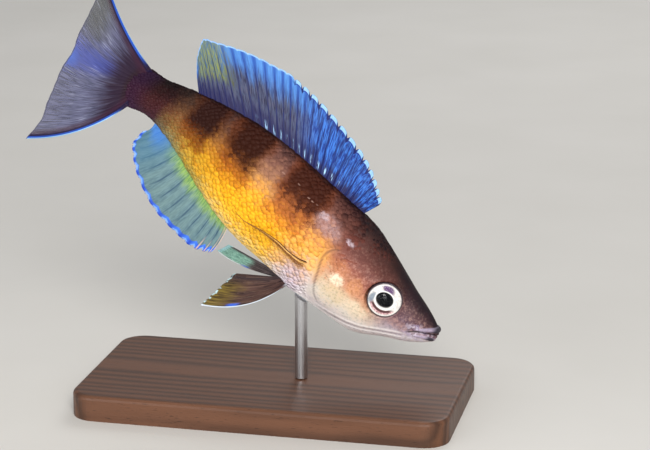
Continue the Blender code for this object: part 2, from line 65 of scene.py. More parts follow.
# %% [markdown]
# ## The fish's own frame
# A fish is easiest to describe straight: s runs back from the snout, y to its left and z to its back, all
# in millimetres. The pose bends the tail to its right, tips the fish nose-down and sets it over the board.
# The same named values made the solids, so every fine piece falls where its solid is.

# %% Pose of the fish
MM = 0.001
STANDARD_LENGTH = 92.0
NOSE_DOWN = math.radians(38.46)
SNOUT_AT = (38.0, 0.0, 19.0)
TAIL_BEND_START = 68.0
TAIL_BEND = math.radians(26.0)


def smooth_curve(points):
    """A function through (at, value) points that is smooth and never overshoots them."""
    at, value = np.array(sorted(points), float).T
    slope = np.diff(value) / np.diff(at)
    tangent = np.concatenate(([slope[0]], np.zeros(len(at) - 2), [slope[-1]]))
    for i in range(1, len(at) - 1):
        if slope[i - 1] * slope[i] > 0:
            tangent[i] = 2 * slope[i - 1] * slope[i] / (slope[i - 1] + slope[i])

    def value_at(x):
        i = np.clip(np.searchsorted(at, x) - 1, 0, len(at) - 2)
        width = at[i + 1] - at[i]
        t = np.clip((x - at[i]) / width, 0.0, 1.0)
        start = value[i] * (1 + 2 * t) * (1 - t) ** 2 + tangent[i] * width * t * (1 - t) ** 2
        return start + value[i + 1] * t * t * (3 - 2 * t) + tangent[i + 1] * width * t * t * (t - 1)
    return value_at


def rise(x, low, high):
    """0 below low, 1 above high and an S between them; low may be the larger."""
    t = np.clip((x - low) / (high - low), 0.0, 1.0)
    return t * t * (3 - 2 * t)


def unit(vectors):
    """The same directions, each 1 long."""
    return vectors / np.maximum(np.linalg.norm(vectors, axis=-1), 1e-9)[..., None]


def to_world(points):
    """World metres of (s, y, z) millimetres of the straight fish, once it is bent and posed."""
    s, y, z = np.moveaxis(np.asarray(points, float), -1, 0)
    radius = (STANDARD_LENGTH - TAIL_BEND_START) / TAIL_BEND
    turn = np.clip((s - TAIL_BEND_START) / radius, 0.0, TAIL_BEND)
    beyond = np.maximum(s - STANDARD_LENGTH, 0.0)
    x = -(np.minimum(s, TAIL_BEND_START) + radius * np.sin(turn) + beyond * np.cos(turn)) - y * np.sin(turn)
    side = y * np.cos(turn) - radius * (1 - np.cos(turn)) - beyond * np.sin(turn)
    c, d = math.cos(NOSE_DOWN), math.sin(NOSE_DOWN)
    return np.stack((SNOUT_AT[0] + x * c + z * d, side, SNOUT_AT[2] - x * d + z * c), -1) * MM


ends = to_world([(0, 0, 0), (STANDARD_LENGTH, 0, 0)]) / MM
print("snout and tail base in mm:", np.round(ends, 1).tolist())

# %% [markdown]
# ## Camera, light and floor
# The photo was taken from the fish's right, a little ahead and above, with a long lens. A camera half a
# metre off gives the same view, with the snout on the photo's own place. The light is a broad soft studio
# light from above and in front, as flash light falls on an aquarium fish, and the floor is plain and pale.

# %% Camera
PHOTO_AZIMUTH, PHOTO_ELEVATION = math.radians(12.73), math.radians(15.5)
MM_PER_PIXEL = 0.2289
SNOUT_PIXEL = (437.76, 334.61)
PHOTO_SIZE = (650, 450)
CAMERA_DISTANCE = 0.5

backward = Vector((math.sin(PHOTO_AZIMUTH) * math.cos(PHOTO_ELEVATION),
                   -math.cos(PHOTO_AZIMUTH) * math.cos(PHOTO_ELEVATION), math.sin(PHOTO_ELEVATION)))
rightward = Vector((math.cos(PHOTO_AZIMUTH), math.sin(PHOTO_AZIMUTH), 0.0))
upward = backward.cross(rightward)
camera_data = bpy.data.cameras.new("camera")
camera_data.sensor_width = 36.0
camera_data.lens = 36.0 * CAMERA_DISTANCE / (MM_PER_PIXEL * MM * PHOTO_SIZE[0])
camera = bpy.data.objects.new("camera", camera_data)
bpy.context.collection.objects.link(camera)
camera.location = (Vector(SNOUT_AT) * MM + backward * CAMERA_DISTANCE
                   - rightward * (SNOUT_PIXEL[0] - PHOTO_SIZE[0] / 2) * MM_PER_PIXEL * MM
                   - upward * (PHOTO_SIZE[1] / 2 - SNOUT_PIXEL[1]) * MM_PER_PIXEL * MM)
camera.rotation_mode = 'QUATERNION'
camera.rotation_quaternion = (-backward).to_track_quat('-Z', 'Y')
camera_data.clip_start, camera_data.clip_end = 0.01, 20.0
bpy.context.scene.camera = camera
bpy.context.scene.view_settings.view_transform = 'Standard'
print("camera at", [round(c, 4) for c in camera.location], "lens", round(camera_data.lens, 2))

# %% [markdown]
# Every finish and tree below is maths on sockets. It could be wired node by node, but a sum reads better as
# a sum, so one small class wraps a socket and gives it Python's operators, and a second one adds the nodes.

# %% Wires: shader and geometry maths as Python
class Wire:
    """A socket of a node tree, on which Python's operators add Math nodes."""

    def __init__(self, socket, nodes):
        self.socket, self.nodes = socket, nodes

    def maths(self, operation, *values):
        return self.nodes.node('ShaderNodeMath', {'operation': operation}, dict(enumerate(values)))

    def __add__(self, other):
        return self.maths('ADD', self, other)

    def __sub__(self, other):
        return self.maths('SUBTRACT', self, other)

    def __rsub__(self, other):
        return self.maths('SUBTRACT', other, self)

    def __mul__(self, other):
        return self.maths('MULTIPLY', self, other)

    def __truediv__(self, other):
        return self.maths('DIVIDE', self, other)

    def __rtruediv__(self, other):
        return self.maths('DIVIDE', other, self)

    def __pow__(self, other):
        return self.maths('POWER', self, other)

    def __abs__(self):
        return self.maths('ABSOLUTE', self)

    __radd__, __rmul__ = __add__, __mul__

    def rise(self, low, high):
        """0 below low, 1 above high and an S between them; low may be the larger."""
        return self.nodes.node('ShaderNodeMapRange', {'interpolation_type': 'SMOOTHSTEP'},
                               {'Value': self, 'From Min': low, 'From Max': high})

    def band(self, low, high, soft):
        """1 between low and high, falling softly to 0 outside."""
        return self.rise(low - soft, low + soft) * self.rise(high + soft, high - soft)

    def most(self, other):
        return self.maths('MAXIMUM', self, other)

    def least(self, other):
        return self.maths('MINIMUM', self, other)

    def lay(self, second, factor, blend='MIX'):
        """This colour with a second one over it."""
        return self.nodes.mix(self, second, factor, blend)


class Nodes:
    """The nodes of one material or of one Geometry Nodes tree."""

    def __init__(self, tree):
        self.tree = tree

    def node(self, kind, settings=None, inputs=None, output=0):
        """Adds a node: its settings are set first, then its sockets get values or wires."""
        made = self.tree.nodes.new(kind)
        for name, value in (settings or {}).items():
            if name == 'stops':
                self.fill_ramp(made.color_ramp, value)
            else:
                setattr(made, name, value)
        for key, value in (inputs or {}).items():
            if isinstance(value, Wire):
                self.tree.links.new(value.socket, made.inputs[key])
            else:
                made.inputs[key].default_value = value
        return Wire(made.outputs[output], self) if made.outputs else None

    @staticmethod
    def fill_ramp(ramp, stops):
        for i, (at, value) in enumerate(stops):
            stop = ramp.elements[i] if i < 2 else ramp.elements.new(at)
            stop.position, stop.color = at, value

    def mix(self, first, second, factor, blend='MIX'):
        """One colour over another, each a wire or written as it looks on a screen."""
        first, second = (colour(c) if isinstance(c, str) else c for c in (first, second))
        return self.node('ShaderNodeMix', {'data_type': 'RGBA', 'blend_type': blend},
                         {0: factor, 6: first, 7: second}, 2)

    def ramp(self, value, stops):
        return self.node('ShaderNodeValToRGB', {'stops': stops}, {0: value})

    def noise(self, size, detail=3.0, roughness=0.5, at=None):
        """Soft clouds between 0 and 1, with a size in metres."""
        return self.node('ShaderNodeTexNoise', {}, {'Vector': at or self.own_place(), 'Scale': 1.0 / size,
                                                    'Detail': detail, 'Roughness': roughness})

    def own_place(self):
        """Places in metres on the object itself."""
        return self.node('ShaderNodeTexCoord', output=3)

    def bump(self, strength, distance, height):
        return self.node('ShaderNodeBump', {}, {'Strength': strength, 'Distance': distance,
                                                'Height': height})

    def held(self, name):
        """The vector that a mesh carries under a name."""
        return self.node('ShaderNodeAttribute', {'attribute_name': name}, output=1)

    def parts(self, name):
        """The three numbers of a mesh's own attribute."""
        held = self.held(name)
        return [self.node('ShaderNodeSeparateXYZ', {}, {0: held}, i) for i in range(3)]


def colour(hexed):
    """A colour that is written as it looks on a screen, for a node's socket."""
    shown = [int(hexed[i:i + 2], 16) / 255 for i in (0, 2, 4)]
    return (*[c / 12.92 if c < 0.04045 else ((c + 0.055) / 1.055) ** 2.4 for c in shown], 1.0)


def stops(*pairs):
    """Stops of a ramp from (place, colour) pairs."""
    return [(at, colour(hexed)) for at, hexed in pairs]


def material(name, painter, **settings):
    """A material whose painter returns what changes over the surface; settings are the same all over."""
    made = bpy.data.materials.new(name)
    made.use_nodes = True
    shader = made.node_tree.nodes["Principled BSDF"]
    nodes = Nodes(made.node_tree)
    for socket, value in settings.items():
        shader.inputs[socket.replace('_', ' ')].default_value = value
    for socket, wire in painter(nodes).items():
        made.node_tree.links.new(wire.socket, shader.inputs[socket])
    return made


print("wires and materials are ready")

# %% [markdown]
# A plain pale card carries the stand. A warm key light from ahead and above gives the highlights, and
# weaker lights beside, behind and below it fill the shadows, so the dark bars keep their detail.

# %% Floor and light
FLOOR_RADIUS = 3.0
LIT_PLACE = Vector((0.0, 0.0, 0.05))


def floor_finish(nodes):
    """Pale matt studio card, a little uneven."""
    cloud = nodes.noise(0.05)
    return {'Base Color': nodes.mix('CFCCC6', 'D8D5D0', cloud),
            'Roughness': cloud * 0.1 + 0.8}


def disc(name, radius, sides=64):
    points = [(radius * math.cos(2 * math.pi * k / sides), radius * math.sin(2 * math.pi * k / sides), 0.0)
              for k in range(sides)]
    data = bpy.data.meshes.new(name)
    data.from_pydata(points, [], [list(range(sides))])
    made = bpy.data.objects.new(name, data)
    bpy.context.collection.objects.link(made)
    return made


def soft_light(name, at, watts, size, tint=(1.0, 1.0, 1.0)):
    """A square light that faces the middle of the fish."""
    data = bpy.data.lights.new(name, 'AREA')
    data.energy, data.size, data.color = watts, size, tint
    made = bpy.data.objects.new(name, data)
    bpy.context.collection.objects.link(made)
    made.location = at
    made.rotation_mode = 'QUATERNION'
    made.rotation_quaternion = (LIT_PLACE - Vector(at)).to_track_quat('-Z', 'Y')
    return made


floor = disc("floor", FLOOR_RADIUS)
floor.data.materials.append(material("studio_card", floor_finish, Specular_IOR_Level=0.1))
soft_light("key", (0.2, -0.63, 0.4), 5.2, 0.32, (1.0, 0.98, 0.95))
soft_light("fill", (-0.36, -0.55, 0.07), 1.9, 0.4, (0.94, 0.97, 1.0))
soft_light("back_light", (0.1, 0.6, 0.55), 1.9, 0.45)
soft_light("low_light", (0.14, -0.4, 0.03), 0.5, 0.16)
world = bpy.data.worlds.new("studio")
bpy.context.scene.world = world
world.use_nodes = True
world.node_tree.nodes["Background"].inputs[0].default_value = (0.95, 0.97, 1.0, 1.0)
world.node_tree.nodes["Background"].inputs[1].default_value = 0.4

# %% [markdown]
# ## The body's surface
# The body is a loft of ovals: its back line, belly line and width are smooth curves. Everything on the
# skin is placed with this one surface, by how far behind the snout it is and its angle round the body, so
# skin, scales, rims and fins meet without gaps.

# %% Body surface
BACK = ((0.0, 0.5), (1.6, 1.8), (5.1, 3.3), (9.8, 4.8), (14.4, 6.5), (21.4, 9.0), (26.0, 10.4),
        (30.6, 11.0), (42.0, 11.4), (51.2, 11.6), (60.4, 11.15), (69.5, 9.55), (78.6, 7.4),
        (85.7, 5.95), (90.0, 5.7), (93.0, 5.75))
BELLY = ((0.0, -2.3), (1.5, -3.8), (4.8, -6.4), (9.3, -8.95), (13.8, -12.0), (16.5, -13.15),
         (20.6, -13.7), (29.8, -14.5), (33.4, -14.8), (36.6, -14.3), (50.4, -13.7), (55.0, -12.9),
         (59.6, -11.7), (68.9, -8.6), (73.5, -6.8), (80.6, -4.65), (84.0, -4.15), (87.8, -4.3),
         (93.0, -4.9))
HALF_WIDTH = ((0.0, 0.9), (1.0, 1.7), (5.0, 3.4), (9.6, 4.6), (16.5, 5.8), (25.6, 6.4), (33.9, 6.4),
              (46.2, 5.9), (55.4, 5.1), (64.5, 4.1), (73.7, 2.9), (80.6, 2.2), (86.3, 1.6), (93.0, 0.8))
TAIL_END = ((11.0, 87.6), (5.9, 89.6), (3.6, 91.4), (0.8, 92.2), (-2.0, 91.4), (-4.6, 89.2), (-11.0, 86.0))
SIDE_ROUNDNESS = 1.12
SKIN_END, STEM_FROM = 93.0, 80.0
back_at, belly_at, half_width_at = smooth_curve(BACK), smooth_curve(BELLY), smooth_curve(HALF_WIDTH)
tail_end_at = smooth_curve(TAIL_END)


def middle_and_half(s):
    """Height of the body's middle, and half of its depth."""
    return (back_at(s) + belly_at(s)) / 2, (back_at(s) - belly_at(s)) / 2


def flank_at(s, z):
    """How far the flank is from the middle plane at a height."""
    middle, half = middle_and_half(s)
    return half_width_at(s) * (1 - ((z - middle) / half) ** 2) ** (SIDE_ROUNDNESS / 2)


def body_point(s, angle):
    """Point (s, y, z) of the plain body, from the distance behind the snout and the angle round it."""
    middle, half = middle_and_half(s)
    across = np.sign(np.cos(angle)) * np.abs(np.cos(angle)) ** SIDE_ROUNDNESS
    narrow = 1.0 - 0.75 * rise(s, 86.5, 92.9)
    z = middle + half * np.sin(angle)
    bent = (tail_end_at(z) + 0.3 - STEM_FROM) / (SKIN_END - STEM_FROM)
    ends = np.where(s > STEM_FROM, STEM_FROM + (s - STEM_FROM) * bent, s)
    return np.stack((ends, half_width_at(s) * across * narrow, z), -1)


def body_normal(s, angle):
    """Unit outward direction of the plain body, in (s, y, z)."""
    along = body_point(s + 0.05, angle) - body_point(np.maximum(s - 0.05, 0.0), angle)
    round_ = body_point(s, angle + 0.002) - body_point(s, angle - 0.002)
    normal = np.cross(round_, along)
    outward = np.stack((np.zeros_like(angle), np.cos(angle), np.sin(angle)), -1)
    normal *= np.sign((normal * outward).sum(-1))[..., None]
    return unit(normal)


def share_of_height(s, z):
    """0 at the belly and 1 at the back."""
    return (z - belly_at(s)) / (back_at(s) - belly_at(s))


print("deepest body:", round(float(back_at(40.0) - belly_at(40.0)), 1), "mm")

# %% [markdown]
# Every piece is made the same way: world places and faces, numbers that its material reads, faces turned
# outward, and a line that ties it to the part. They could be written out for each piece, but then one
# could be forgotten, so each is a short function here.

# %% Mesh helpers
def add_attribute(data, name, values, kind='FLOAT_VECTOR'):
    """Stores numbers on a mesh's points under a name that its material or tree reads."""
    layer = data.attributes.new(name, kind, 'POINT')
    layer.data.foreach_set('vector' if kind == 'FLOAT_VECTOR' else 'value',
                           np.asarray(values, np.float32).ravel())


def new_piece(name, places, faces, look=None, edges=()):
    """A mesh object from world places, left at the origin."""
    data = bpy.data.meshes.new(name)
    data.from_pydata(np.asarray(places).tolist(), list(edges), faces)
    made = bpy.data.objects.new(name, data)
    bpy.context.collection.objects.link(made)
    if look is not None:
        data.materials.append(look)
    data.shade_smooth()
    return made


def face_outward(piece):
    """Turns a closed mesh's faces to point out of it."""
    mesh = bmesh.new()
    mesh.from_mesh(piece.data)
    bmesh.ops.recalc_face_normals(mesh, faces=mesh.faces)
    if mesh.calc_volume(signed=True) < 0:
        bmesh.ops.reverse_faces(mesh, faces=mesh.faces)
    mesh.to_mesh(piece.data)
    mesh.free()


def hand_over(piece, slot, *nodes):
    """Ties a finished piece to the part: its body and the CAD nodes it stands for, which it hides. slot is
    not used.
    """
    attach(piece, "root")
    if nodes:
        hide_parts(*nodes)
    triangles = sum(len(p.vertices) - 2 for p in piece.data.polygons)
    print(piece.name, triangles, "triangles")


def grid_faces(rows, columns, closed=False):
    """Quads over a grid of rows and columns, closed round each row or not."""
    last = columns if closed else columns - 1
    return [(r * columns + c, r * columns + (c + 1) % columns,
             (r + 1) * columns + (c + 1) % columns, (r + 1) * columns + c)
            for r in range(rows - 1) for c in range(last)]


print("mesh helpers are ready")

# %% [markdown]
# ## Relief of the head
# A real cichlid's head is bone under thin skin: rolled lips, a slit for the mouth, a raised rim round the
# eye, a nostril pit, the cheek's groove and the free edge of the gill cover. They could be sculpted by
# hand, but each is a short formula of the distance from a line, so each is added to the skin as a height.

# %% Relief: lines on the head
UPPER_LIP = ((0.75, 0.95, 0.0), (1.1, 0.8, 1.2), (2.4, 0.15, 2.1), (4.0, -0.85, 2.9))
LOWER_LIP = ((0.35, -1.35, 0.0), (0.8, -1.45, 1.15), (2.2, -1.85, 2.0), (3.9, -2.65, 2.75))
LIP_RADII = (0.78, 0.42)
MOUTH_LINE = ((-1.5, -0.2), (0.6, -0.22), (2.5, -1.0), (4.3, -1.75), (5.6, -2.9), (6.3, -3.7))
EYE_AT = (14.9, -0.25)
EYE_RADIUS, EYE_DEPTH, EYE_STANDS_OUT = 4.05, 2.7, 0.55
NOSTRIL_AT = (7.7, 2.6)
GILL_REAR = ((3.0, 28.6), (2.2, 29.8), (1.2, 30.7), (0.1, 31.2), (-1.2, 31.25), (-2.6, 30.9), (-4.4, 30.2),
             (-6.5, 29.4), (-8.2, 28.7), (-9.8, 27.7), (-11.0, 26.3), (-12.4, 24.0))
SOCKET_DEPTH = 2.6
CHEEK_GROOVE = ((23.3, 1.1), (22.6, -2.0), (22.0, -4.9), (21.2, -7.4), (20.7, -9.3), (22.2, -11.0),
                (25.2, -11.9))
THROAT_LINE = ((5.6, -4.2), (8.0, -5.4), (11.1, -7.2), (14.5, -9.3), (18.0, -10.9), (22.5, -12.2),
               (27.0, -13.0))
JAW_GROOVE = ((7.2, -4.6), (9.0, -6.8), (12.0, -9.6), (16.0, -11.4), (20.0, -12.2))
GILL_FOOT = (-12.2, -10.8)
LIPS_REACH = 7.0
gill_rear_at = smooth_curve(GILL_REAR)


def line_distance(s, z, line):
    """Distance in the side view from a line of (s, z) points, and the share of its length passed there."""
    line = np.array(line, float)
    lengths = np.linalg.norm(np.diff(line, axis=0), axis=1)
    passed = np.concatenate(([0.0], np.cumsum(lengths))) / lengths.sum()
    nearest, share = np.full(np.shape(s), 1e9), np.zeros(np.shape(s))
    for i in range(len(line) - 1):
        step = line[i + 1] - line[i]
        t = np.clip(((s - line[i, 0]) * step[0] + (z - line[i, 1]) * step[1]) / (step @ step), 0.0, 1.0)
        distance = np.hypot(s - line[i, 0] - t * step[0], z - line[i, 1] - t * step[1])
        closer = distance < nearest
        nearest = np.where(closer, distance, nearest)
        share = np.where(closer, passed[i] + t * (passed[i + 1] - passed[i]), share)
    return nearest, share


def lip_path(rows, steps=81):
    """Middle line and radius of a lip, from one corner of the mouth to the other."""
    left = [(s, y, z) for s, z, y in rows]
    anchors = [(s, -y, z) for s, y, z in left[:0:-1]] + left
    at = np.linspace(0, len(anchors) - 1, steps)
    curves = [smooth_curve(list(enumerate(values))) for values in zip(*anchors)]
    path = np.stack([curve(at) for curve in curves], -1)
    outness = np.abs(at / ((len(anchors) - 1) / 2) - 1)
    return path, LIP_RADII[0] + (LIP_RADII[1] - LIP_RADII[0]) * outness


def lip_height(points, normals, rows):
    """How far the skin must rise to lie on a lip's round surface."""
    height = np.zeros(len(points))
    for centre, radius in zip(*lip_path(rows)):
        away = centre - points
        rise_to = (away * normals).sum(-1)
        off = np.maximum((away ** 2).sum(-1) - rise_to ** 2, 0.0)
        top = rise_to + np.sqrt(np.maximum(radius ** 2 - off, 0.0))
        height = np.where(off < radius ** 2, np.maximum(height, top), height)
    return height


def lips_height(points, normals):
    """How far the skin must rise for both lips."""
    height, near = np.zeros(len(points)), points[:, 0] < LIPS_REACH
    for rows in (UPPER_LIP, LOWER_LIP):
        height[near] = np.maximum(height[near], lip_height(points[near], normals[near], rows))
    return height


print("lips are", LIP_RADII[0] * 2, "mm thick in the middle")

# %% [markdown]
# On the real head the gill cover overlaps the shoulder with a free edge, the eye sits in a socket with a
# soft rim, and the nostril is a small pit. A head could be built of separate plates, but their joints
# would show, so every form is one more height, in or out, of the same skin.

# %% Relief: heights over the plain body
def eye_distance(s, z):
    return np.hypot(s - EYE_AT[0], z - EYE_AT[1])


def gill_height(s, z):
    """The gill cover stands proud and ends in a free edge with a gutter behind it."""
    behind = s - gill_rear_at(z)
    reach = rise(z, *GILL_FOOT) * rise(z, 2.8, 1.4)
    proud = 0.16 * rise(s, 21.5, 25.0) * rise(behind, 0.2, -0.2)
    gutter = 0.3 * rise(behind, -0.1, 0.2) * rise(behind, 1.8, 0.25)
    return reach * (proud - gutter)


def head_height(points, normals):
    """All of the head's relief, in millimetres out of the plain body."""
    s, z = points[:, 0], points[:, 2]
    height = gill_height(s, z)
    rim = np.exp(-((eye_distance(s, z) - EYE_RADIUS - 0.3) / 0.4) ** 2)
    height += 0.16 * rim
    for line, depth, width in ((CHEEK_GROOVE, 0.16, 0.35), (JAW_GROOVE, 0.14, 0.4)):
        distance, share = line_distance(s, z, line)
        height -= depth * np.exp(-(distance / width) ** 2) * rise(share, 0.0, 0.15) * rise(share, 1.0, 0.85)
    nostril = np.hypot(s - NOSTRIL_AT[0], z - NOSTRIL_AT[1])
    height += 0.12 * np.exp(-((nostril - 0.62) / 0.2) ** 2) - 0.5 * rise(nostril, 0.5, 0.3)
    height = np.maximum(height, lips_height(points, normals))
    distance, share = line_distance(s, z, MOUTH_LINE)
    height -= (0.95 - 0.75 * share) * np.exp(-(distance / 0.17) ** 2) * rise(share, 1.0, 0.9)
    socket = rise(eye_distance(s, z), EYE_RADIUS + 0.12, EYE_RADIUS - 0.12)
    return height * (1 - socket) - SOCKET_DEPTH * socket


print("gill cover ends", round(float(gill_rear_at(0.0)), 1), "mm behind the snout")


# %% [markdown]
# ## One skin over the whole body
# A real fish has no seams, so one mesh replaces the head, jaw, gill covers, trunk and tail stem. It lies a
# little inside the solids where scales cover it. Its rings are close together at the snout, where the
# lips are, and wider towards the tail.

# %% Skin mesh
SKIN_STATIONS, SKIN_SIDES, CAP_RINGS = 262, 176, 9
CROWDED_AT_SNOUT = 1.22
BARE_DEPTH, COAT_DEPTH = 0.04, 0.16
SCALES_BEGIN = (27.0, 34.0)

angles = 2 * np.pi * np.arange(SKIN_SIDES) / SKIN_SIDES
stations = SKIN_END * (np.arange(SKIN_STATIONS) / (SKIN_STATIONS - 1)) ** CROWDED_AT_SNOUT
skin_s, skin_angle = np.meshgrid(stations, angles, indexing='ij')
flat_s, flat_angle = skin_s.ravel(), skin_angle.ravel()
plain = body_point(flat_s, flat_angle)
outward = body_normal(flat_s, flat_angle)
# the first ring leans forward, to meet the rounded end
outward[:SKIN_SIDES] = 0.6 * outward[:SKIN_SIDES] + np.array((-0.8, 0.0, 0.0))


def nose_cap():
    """Closes the front: rings that shrink to a point on a rounded end."""
    middle = np.array((0.0, 0.0, (BACK[0][1] + BELLY[0][1]) / 2))
    rings, directions = [], []
    for i in range(CAP_RINGS):
        part = i / CAP_RINGS
        ring = middle + (plain[:SKIN_SIDES] - middle) * max(part, 0.02)
        ring[:, 0] = -0.35 * math.sqrt(1 - part * part)
        rings.append(ring)
        directions.append(outward[:SKIN_SIDES] * part + np.array((-1.0, 0.0, 0.0)) * (1 - part))
    return np.concatenate(rings), unit(np.concatenate(directions))


cap, cap_outward = nose_cap()
skin_points = np.concatenate((cap, plain))
skin_outward = unit(np.concatenate((cap_outward, outward)))
scaled = rise(skin_points[:, 0], *SCALES_BEGIN)
skin_height = head_height(skin_points, skin_outward) - BARE_DEPTH - (COAT_DEPTH - BARE_DEPTH) * scaled
skin_lifted = skin_points + skin_outward * skin_height[:, None]
row_count = CAP_RINGS + SKIN_STATIONS
skin_faces = grid_faces(row_count, SKIN_SIDES, closed=True)
skin_faces.append(list(range(SKIN_SIDES))[::-1])
skin_faces.append([(row_count - 1) * SKIN_SIDES + k for k in range(SKIN_SIDES)])
print("skin has", len(skin_points), "points")

# %% [markdown]
# ## The fish's markings
# The male's colours run in soft zones along the body: a maroon head, a lilac breast, orange-yellow flanks
# and a dark maroon tail stem, with three dark bars hanging from a brown back. Each zone is one ramp from
# belly to back, and the zones and bars blend with soft clouds. Skin and scales both use
# this one function, so the coat can't drift from the skin below it.

# %% Markings
# The near-white lowest stops of the snout and cheek ramps are partly the pale throat and partly painted light
# on the underside; the darkest top stops are partly the dark back and partly painted shade along it.
SNOUT_ZONE = stops((0.0, 'F0EAEA'), (0.1, 'D6CCCE'), (0.22, 'CCC2C6'), (0.36, '9A8A94'), (0.5, '6A5460'),
                   (0.62, '5A4048'), (0.76, '50363A'), (0.89, '2A1A20'), (1.0, '160C14'))
CHEEK_ZONE = stops((0.0, 'F0E8E6'), (0.1, 'CEC4C4'), (0.22, 'D2C8BA'), (0.36, 'CCB294'), (0.48, 'BA8060'),
                   (0.6, '8E5242'), (0.72, '703E36'), (0.85, '4E2822'), (0.95, '2C1816'), (1.0, '1A0E12'))
SHOULDER_ZONE = stops((0.0, 'D2CAD2'), (0.14, 'C6B6C2'), (0.28, 'CCAA9A'), (0.4, 'E4AC62'), (0.52, 'E8A44A'),
                      (0.62, 'C88850'), (0.74, '8C5C50'), (0.86, '5E3830'), (1.0, '2C1616'))
FLANK_ZONE = stops((0.0, 'CCB47C'), (0.08, 'ECC060'), (0.18, 'F0B22C'), (0.34, 'F2AC1C'), (0.5, 'EEA430'),
                   (0.62, 'C28A50'), (0.75, '966A52'), (0.87, '724C42'), (1.0, '3C2422'))
REAR_ZONE = stops((0.0, '8E8648'), (0.16, 'C29830'), (0.32, 'C28E1E'), (0.46, 'B07A26'), (0.6, '8E5C2A'),
                  (0.75, '643E26'), (0.9, '442A24'), (1.0, '2A1A18'))
OLIVE_ZONE = stops((0.0, '747058'), (0.1, '82764A'), (0.3, '7E6232'), (0.5, '745232'), (0.7, '543622'),
                   (0.85, '3C281E'), (1.0, '1C1210'))
STEM_ZONE = stops((0.0, '36202C'), (0.2, '3C1C22'), (0.45, '3A181A'), (0.7, '240C0E'), (1.0, '0C0506'))
BARS = ((38.4, 49.6, 0.60, '2E110A', '964A20'), (56.2, 65.0, 0.52, '240B07', '84400E'),
        (68.5, 76.2, 0.38, '200B0A', '66320E'))
HEAD_PATCHES_AND_GLINTS = (  # middle (s, z), half sizes, colour and strength
    ((24.5, -7.4), (4.0, 3.4), 'D0BC90', 0.45), ((18.6, -6.2), (4.2, 2.2), 'DCCEB4', 0.6),
    ((27.2, -0.4), (3.2, 2.2), 'BC7A52', 0.55), ((21.8, -2.0), (2.2, 2.8), 'CE8E5C', 0.5),
    # the near-white spot on the gill cover at (26.0, -3.2) is a painted highlight
    ((26.0, -3.2), (2.4, 1.7), 'F8ECD0', 0.75), ((29.9, -5.0), (0.9, 4.4), 'C88A6C', 0.4),
    ((8.6, -3.0), (3.4, 1.6), 'A07A70', 0.45), ((3.8, -1.0), (2.6, 0.9), '9A8CAA', 0.65),
    # the pale lilac patches on the shoulder, at (35.4, 5.0), (37.2, 5.9) and (33.4, 4.0), are painted sheen
    ((4.8, -3.4), (3.0, 0.8), 'A89CB8', 0.55), ((35.4, 5.0), (4.6, 2.6), 'BCA0A2', 0.3),
    # the small pale patch on the nape at (28.8, 5.1) is a painted glint
    ((28.8, 5.1), (1.5, 0.9), 'DCCCD8', 0.5),
    ((37.2, 5.9), (1.8, 1.1), 'DCD0DC', 0.3), ((33.4, 4.0), (3.2, 1.9), 'C0A4A4', 0.2))


def patch(s, z, at, size):
    """1 in the middle of an oval patch of the side view and 0 at its edge."""
    across, up = (s - at[0]) / size[0], (z - at[1]) / size[1]
    return (across * across + up * up).rise(1.0, 0.15)


def fish_colour(nodes, shift=0.0, place=None):
    """The markings at a point, with painted highlights, sheen and shade among them, from its distance behind
    the snout and its share of the height.
    """
    far, high, z = place or nodes.parts('fish')
    s = far + (nodes.noise(0.004) - 0.5) * 4.0 + shift * 9.0
    h = high + (nodes.noise(0.0026) - 0.5) * 0.14 + shift
    zones = [nodes.ramp(h, zone) for zone in
             (SNOUT_ZONE, CHEEK_ZONE, SHOULDER_ZONE, FLANK_ZONE, REAR_ZONE, OLIVE_ZONE, STEM_ZONE)]
    paint = zones[0]
    for zone, (low, high_) in zip(zones[1:], ((9.0, 18.0), (28.5, 33.0), (34.0, 44.0), (57.0, 68.0),
                                              (70.0, 76.5), (76.5, 82.5))):
        paint = paint.lay(zone, s.rise(low, high_))
    for front, rear, foot, dark, low in BARS:
        bar = s.band(front, rear, 1.7)
        paint = paint.lay(low, bar * h.rise(foot - 0.24, foot) * 0.8)
        paint = paint.lay(dark, bar * h.rise(foot - 0.02, foot + 0.2) * 0.94)
    ragged_s, ragged_z = s * 0.3 + far * 0.7, z + (nodes.noise(0.0012, 4.0, 0.6) - 0.5) * 2.0
    mottle = nodes.noise(0.0008, 4.0, 0.65).rise(0.36, 0.56)
    # some of these patches are painted highlights and sheen on the gill cover, nape and shoulder
    for at, size, hexed, strength in HEAD_PATCHES_AND_GLINTS:
        over = patch(ragged_s, ragged_z, at, size) * (mottle * 0.7 + 0.3)
        paint = paint.lay(hexed, over * strength)
    paint = paint.lay('281230', far.rise(85.5, 90.5) * 0.6)
    # painted shade: the topmost band of the back is darkened along its outline
    paint = paint.lay('1C0E10', high.rise(0.975, 0.998) * 0.7)
    return paint, far, high, z


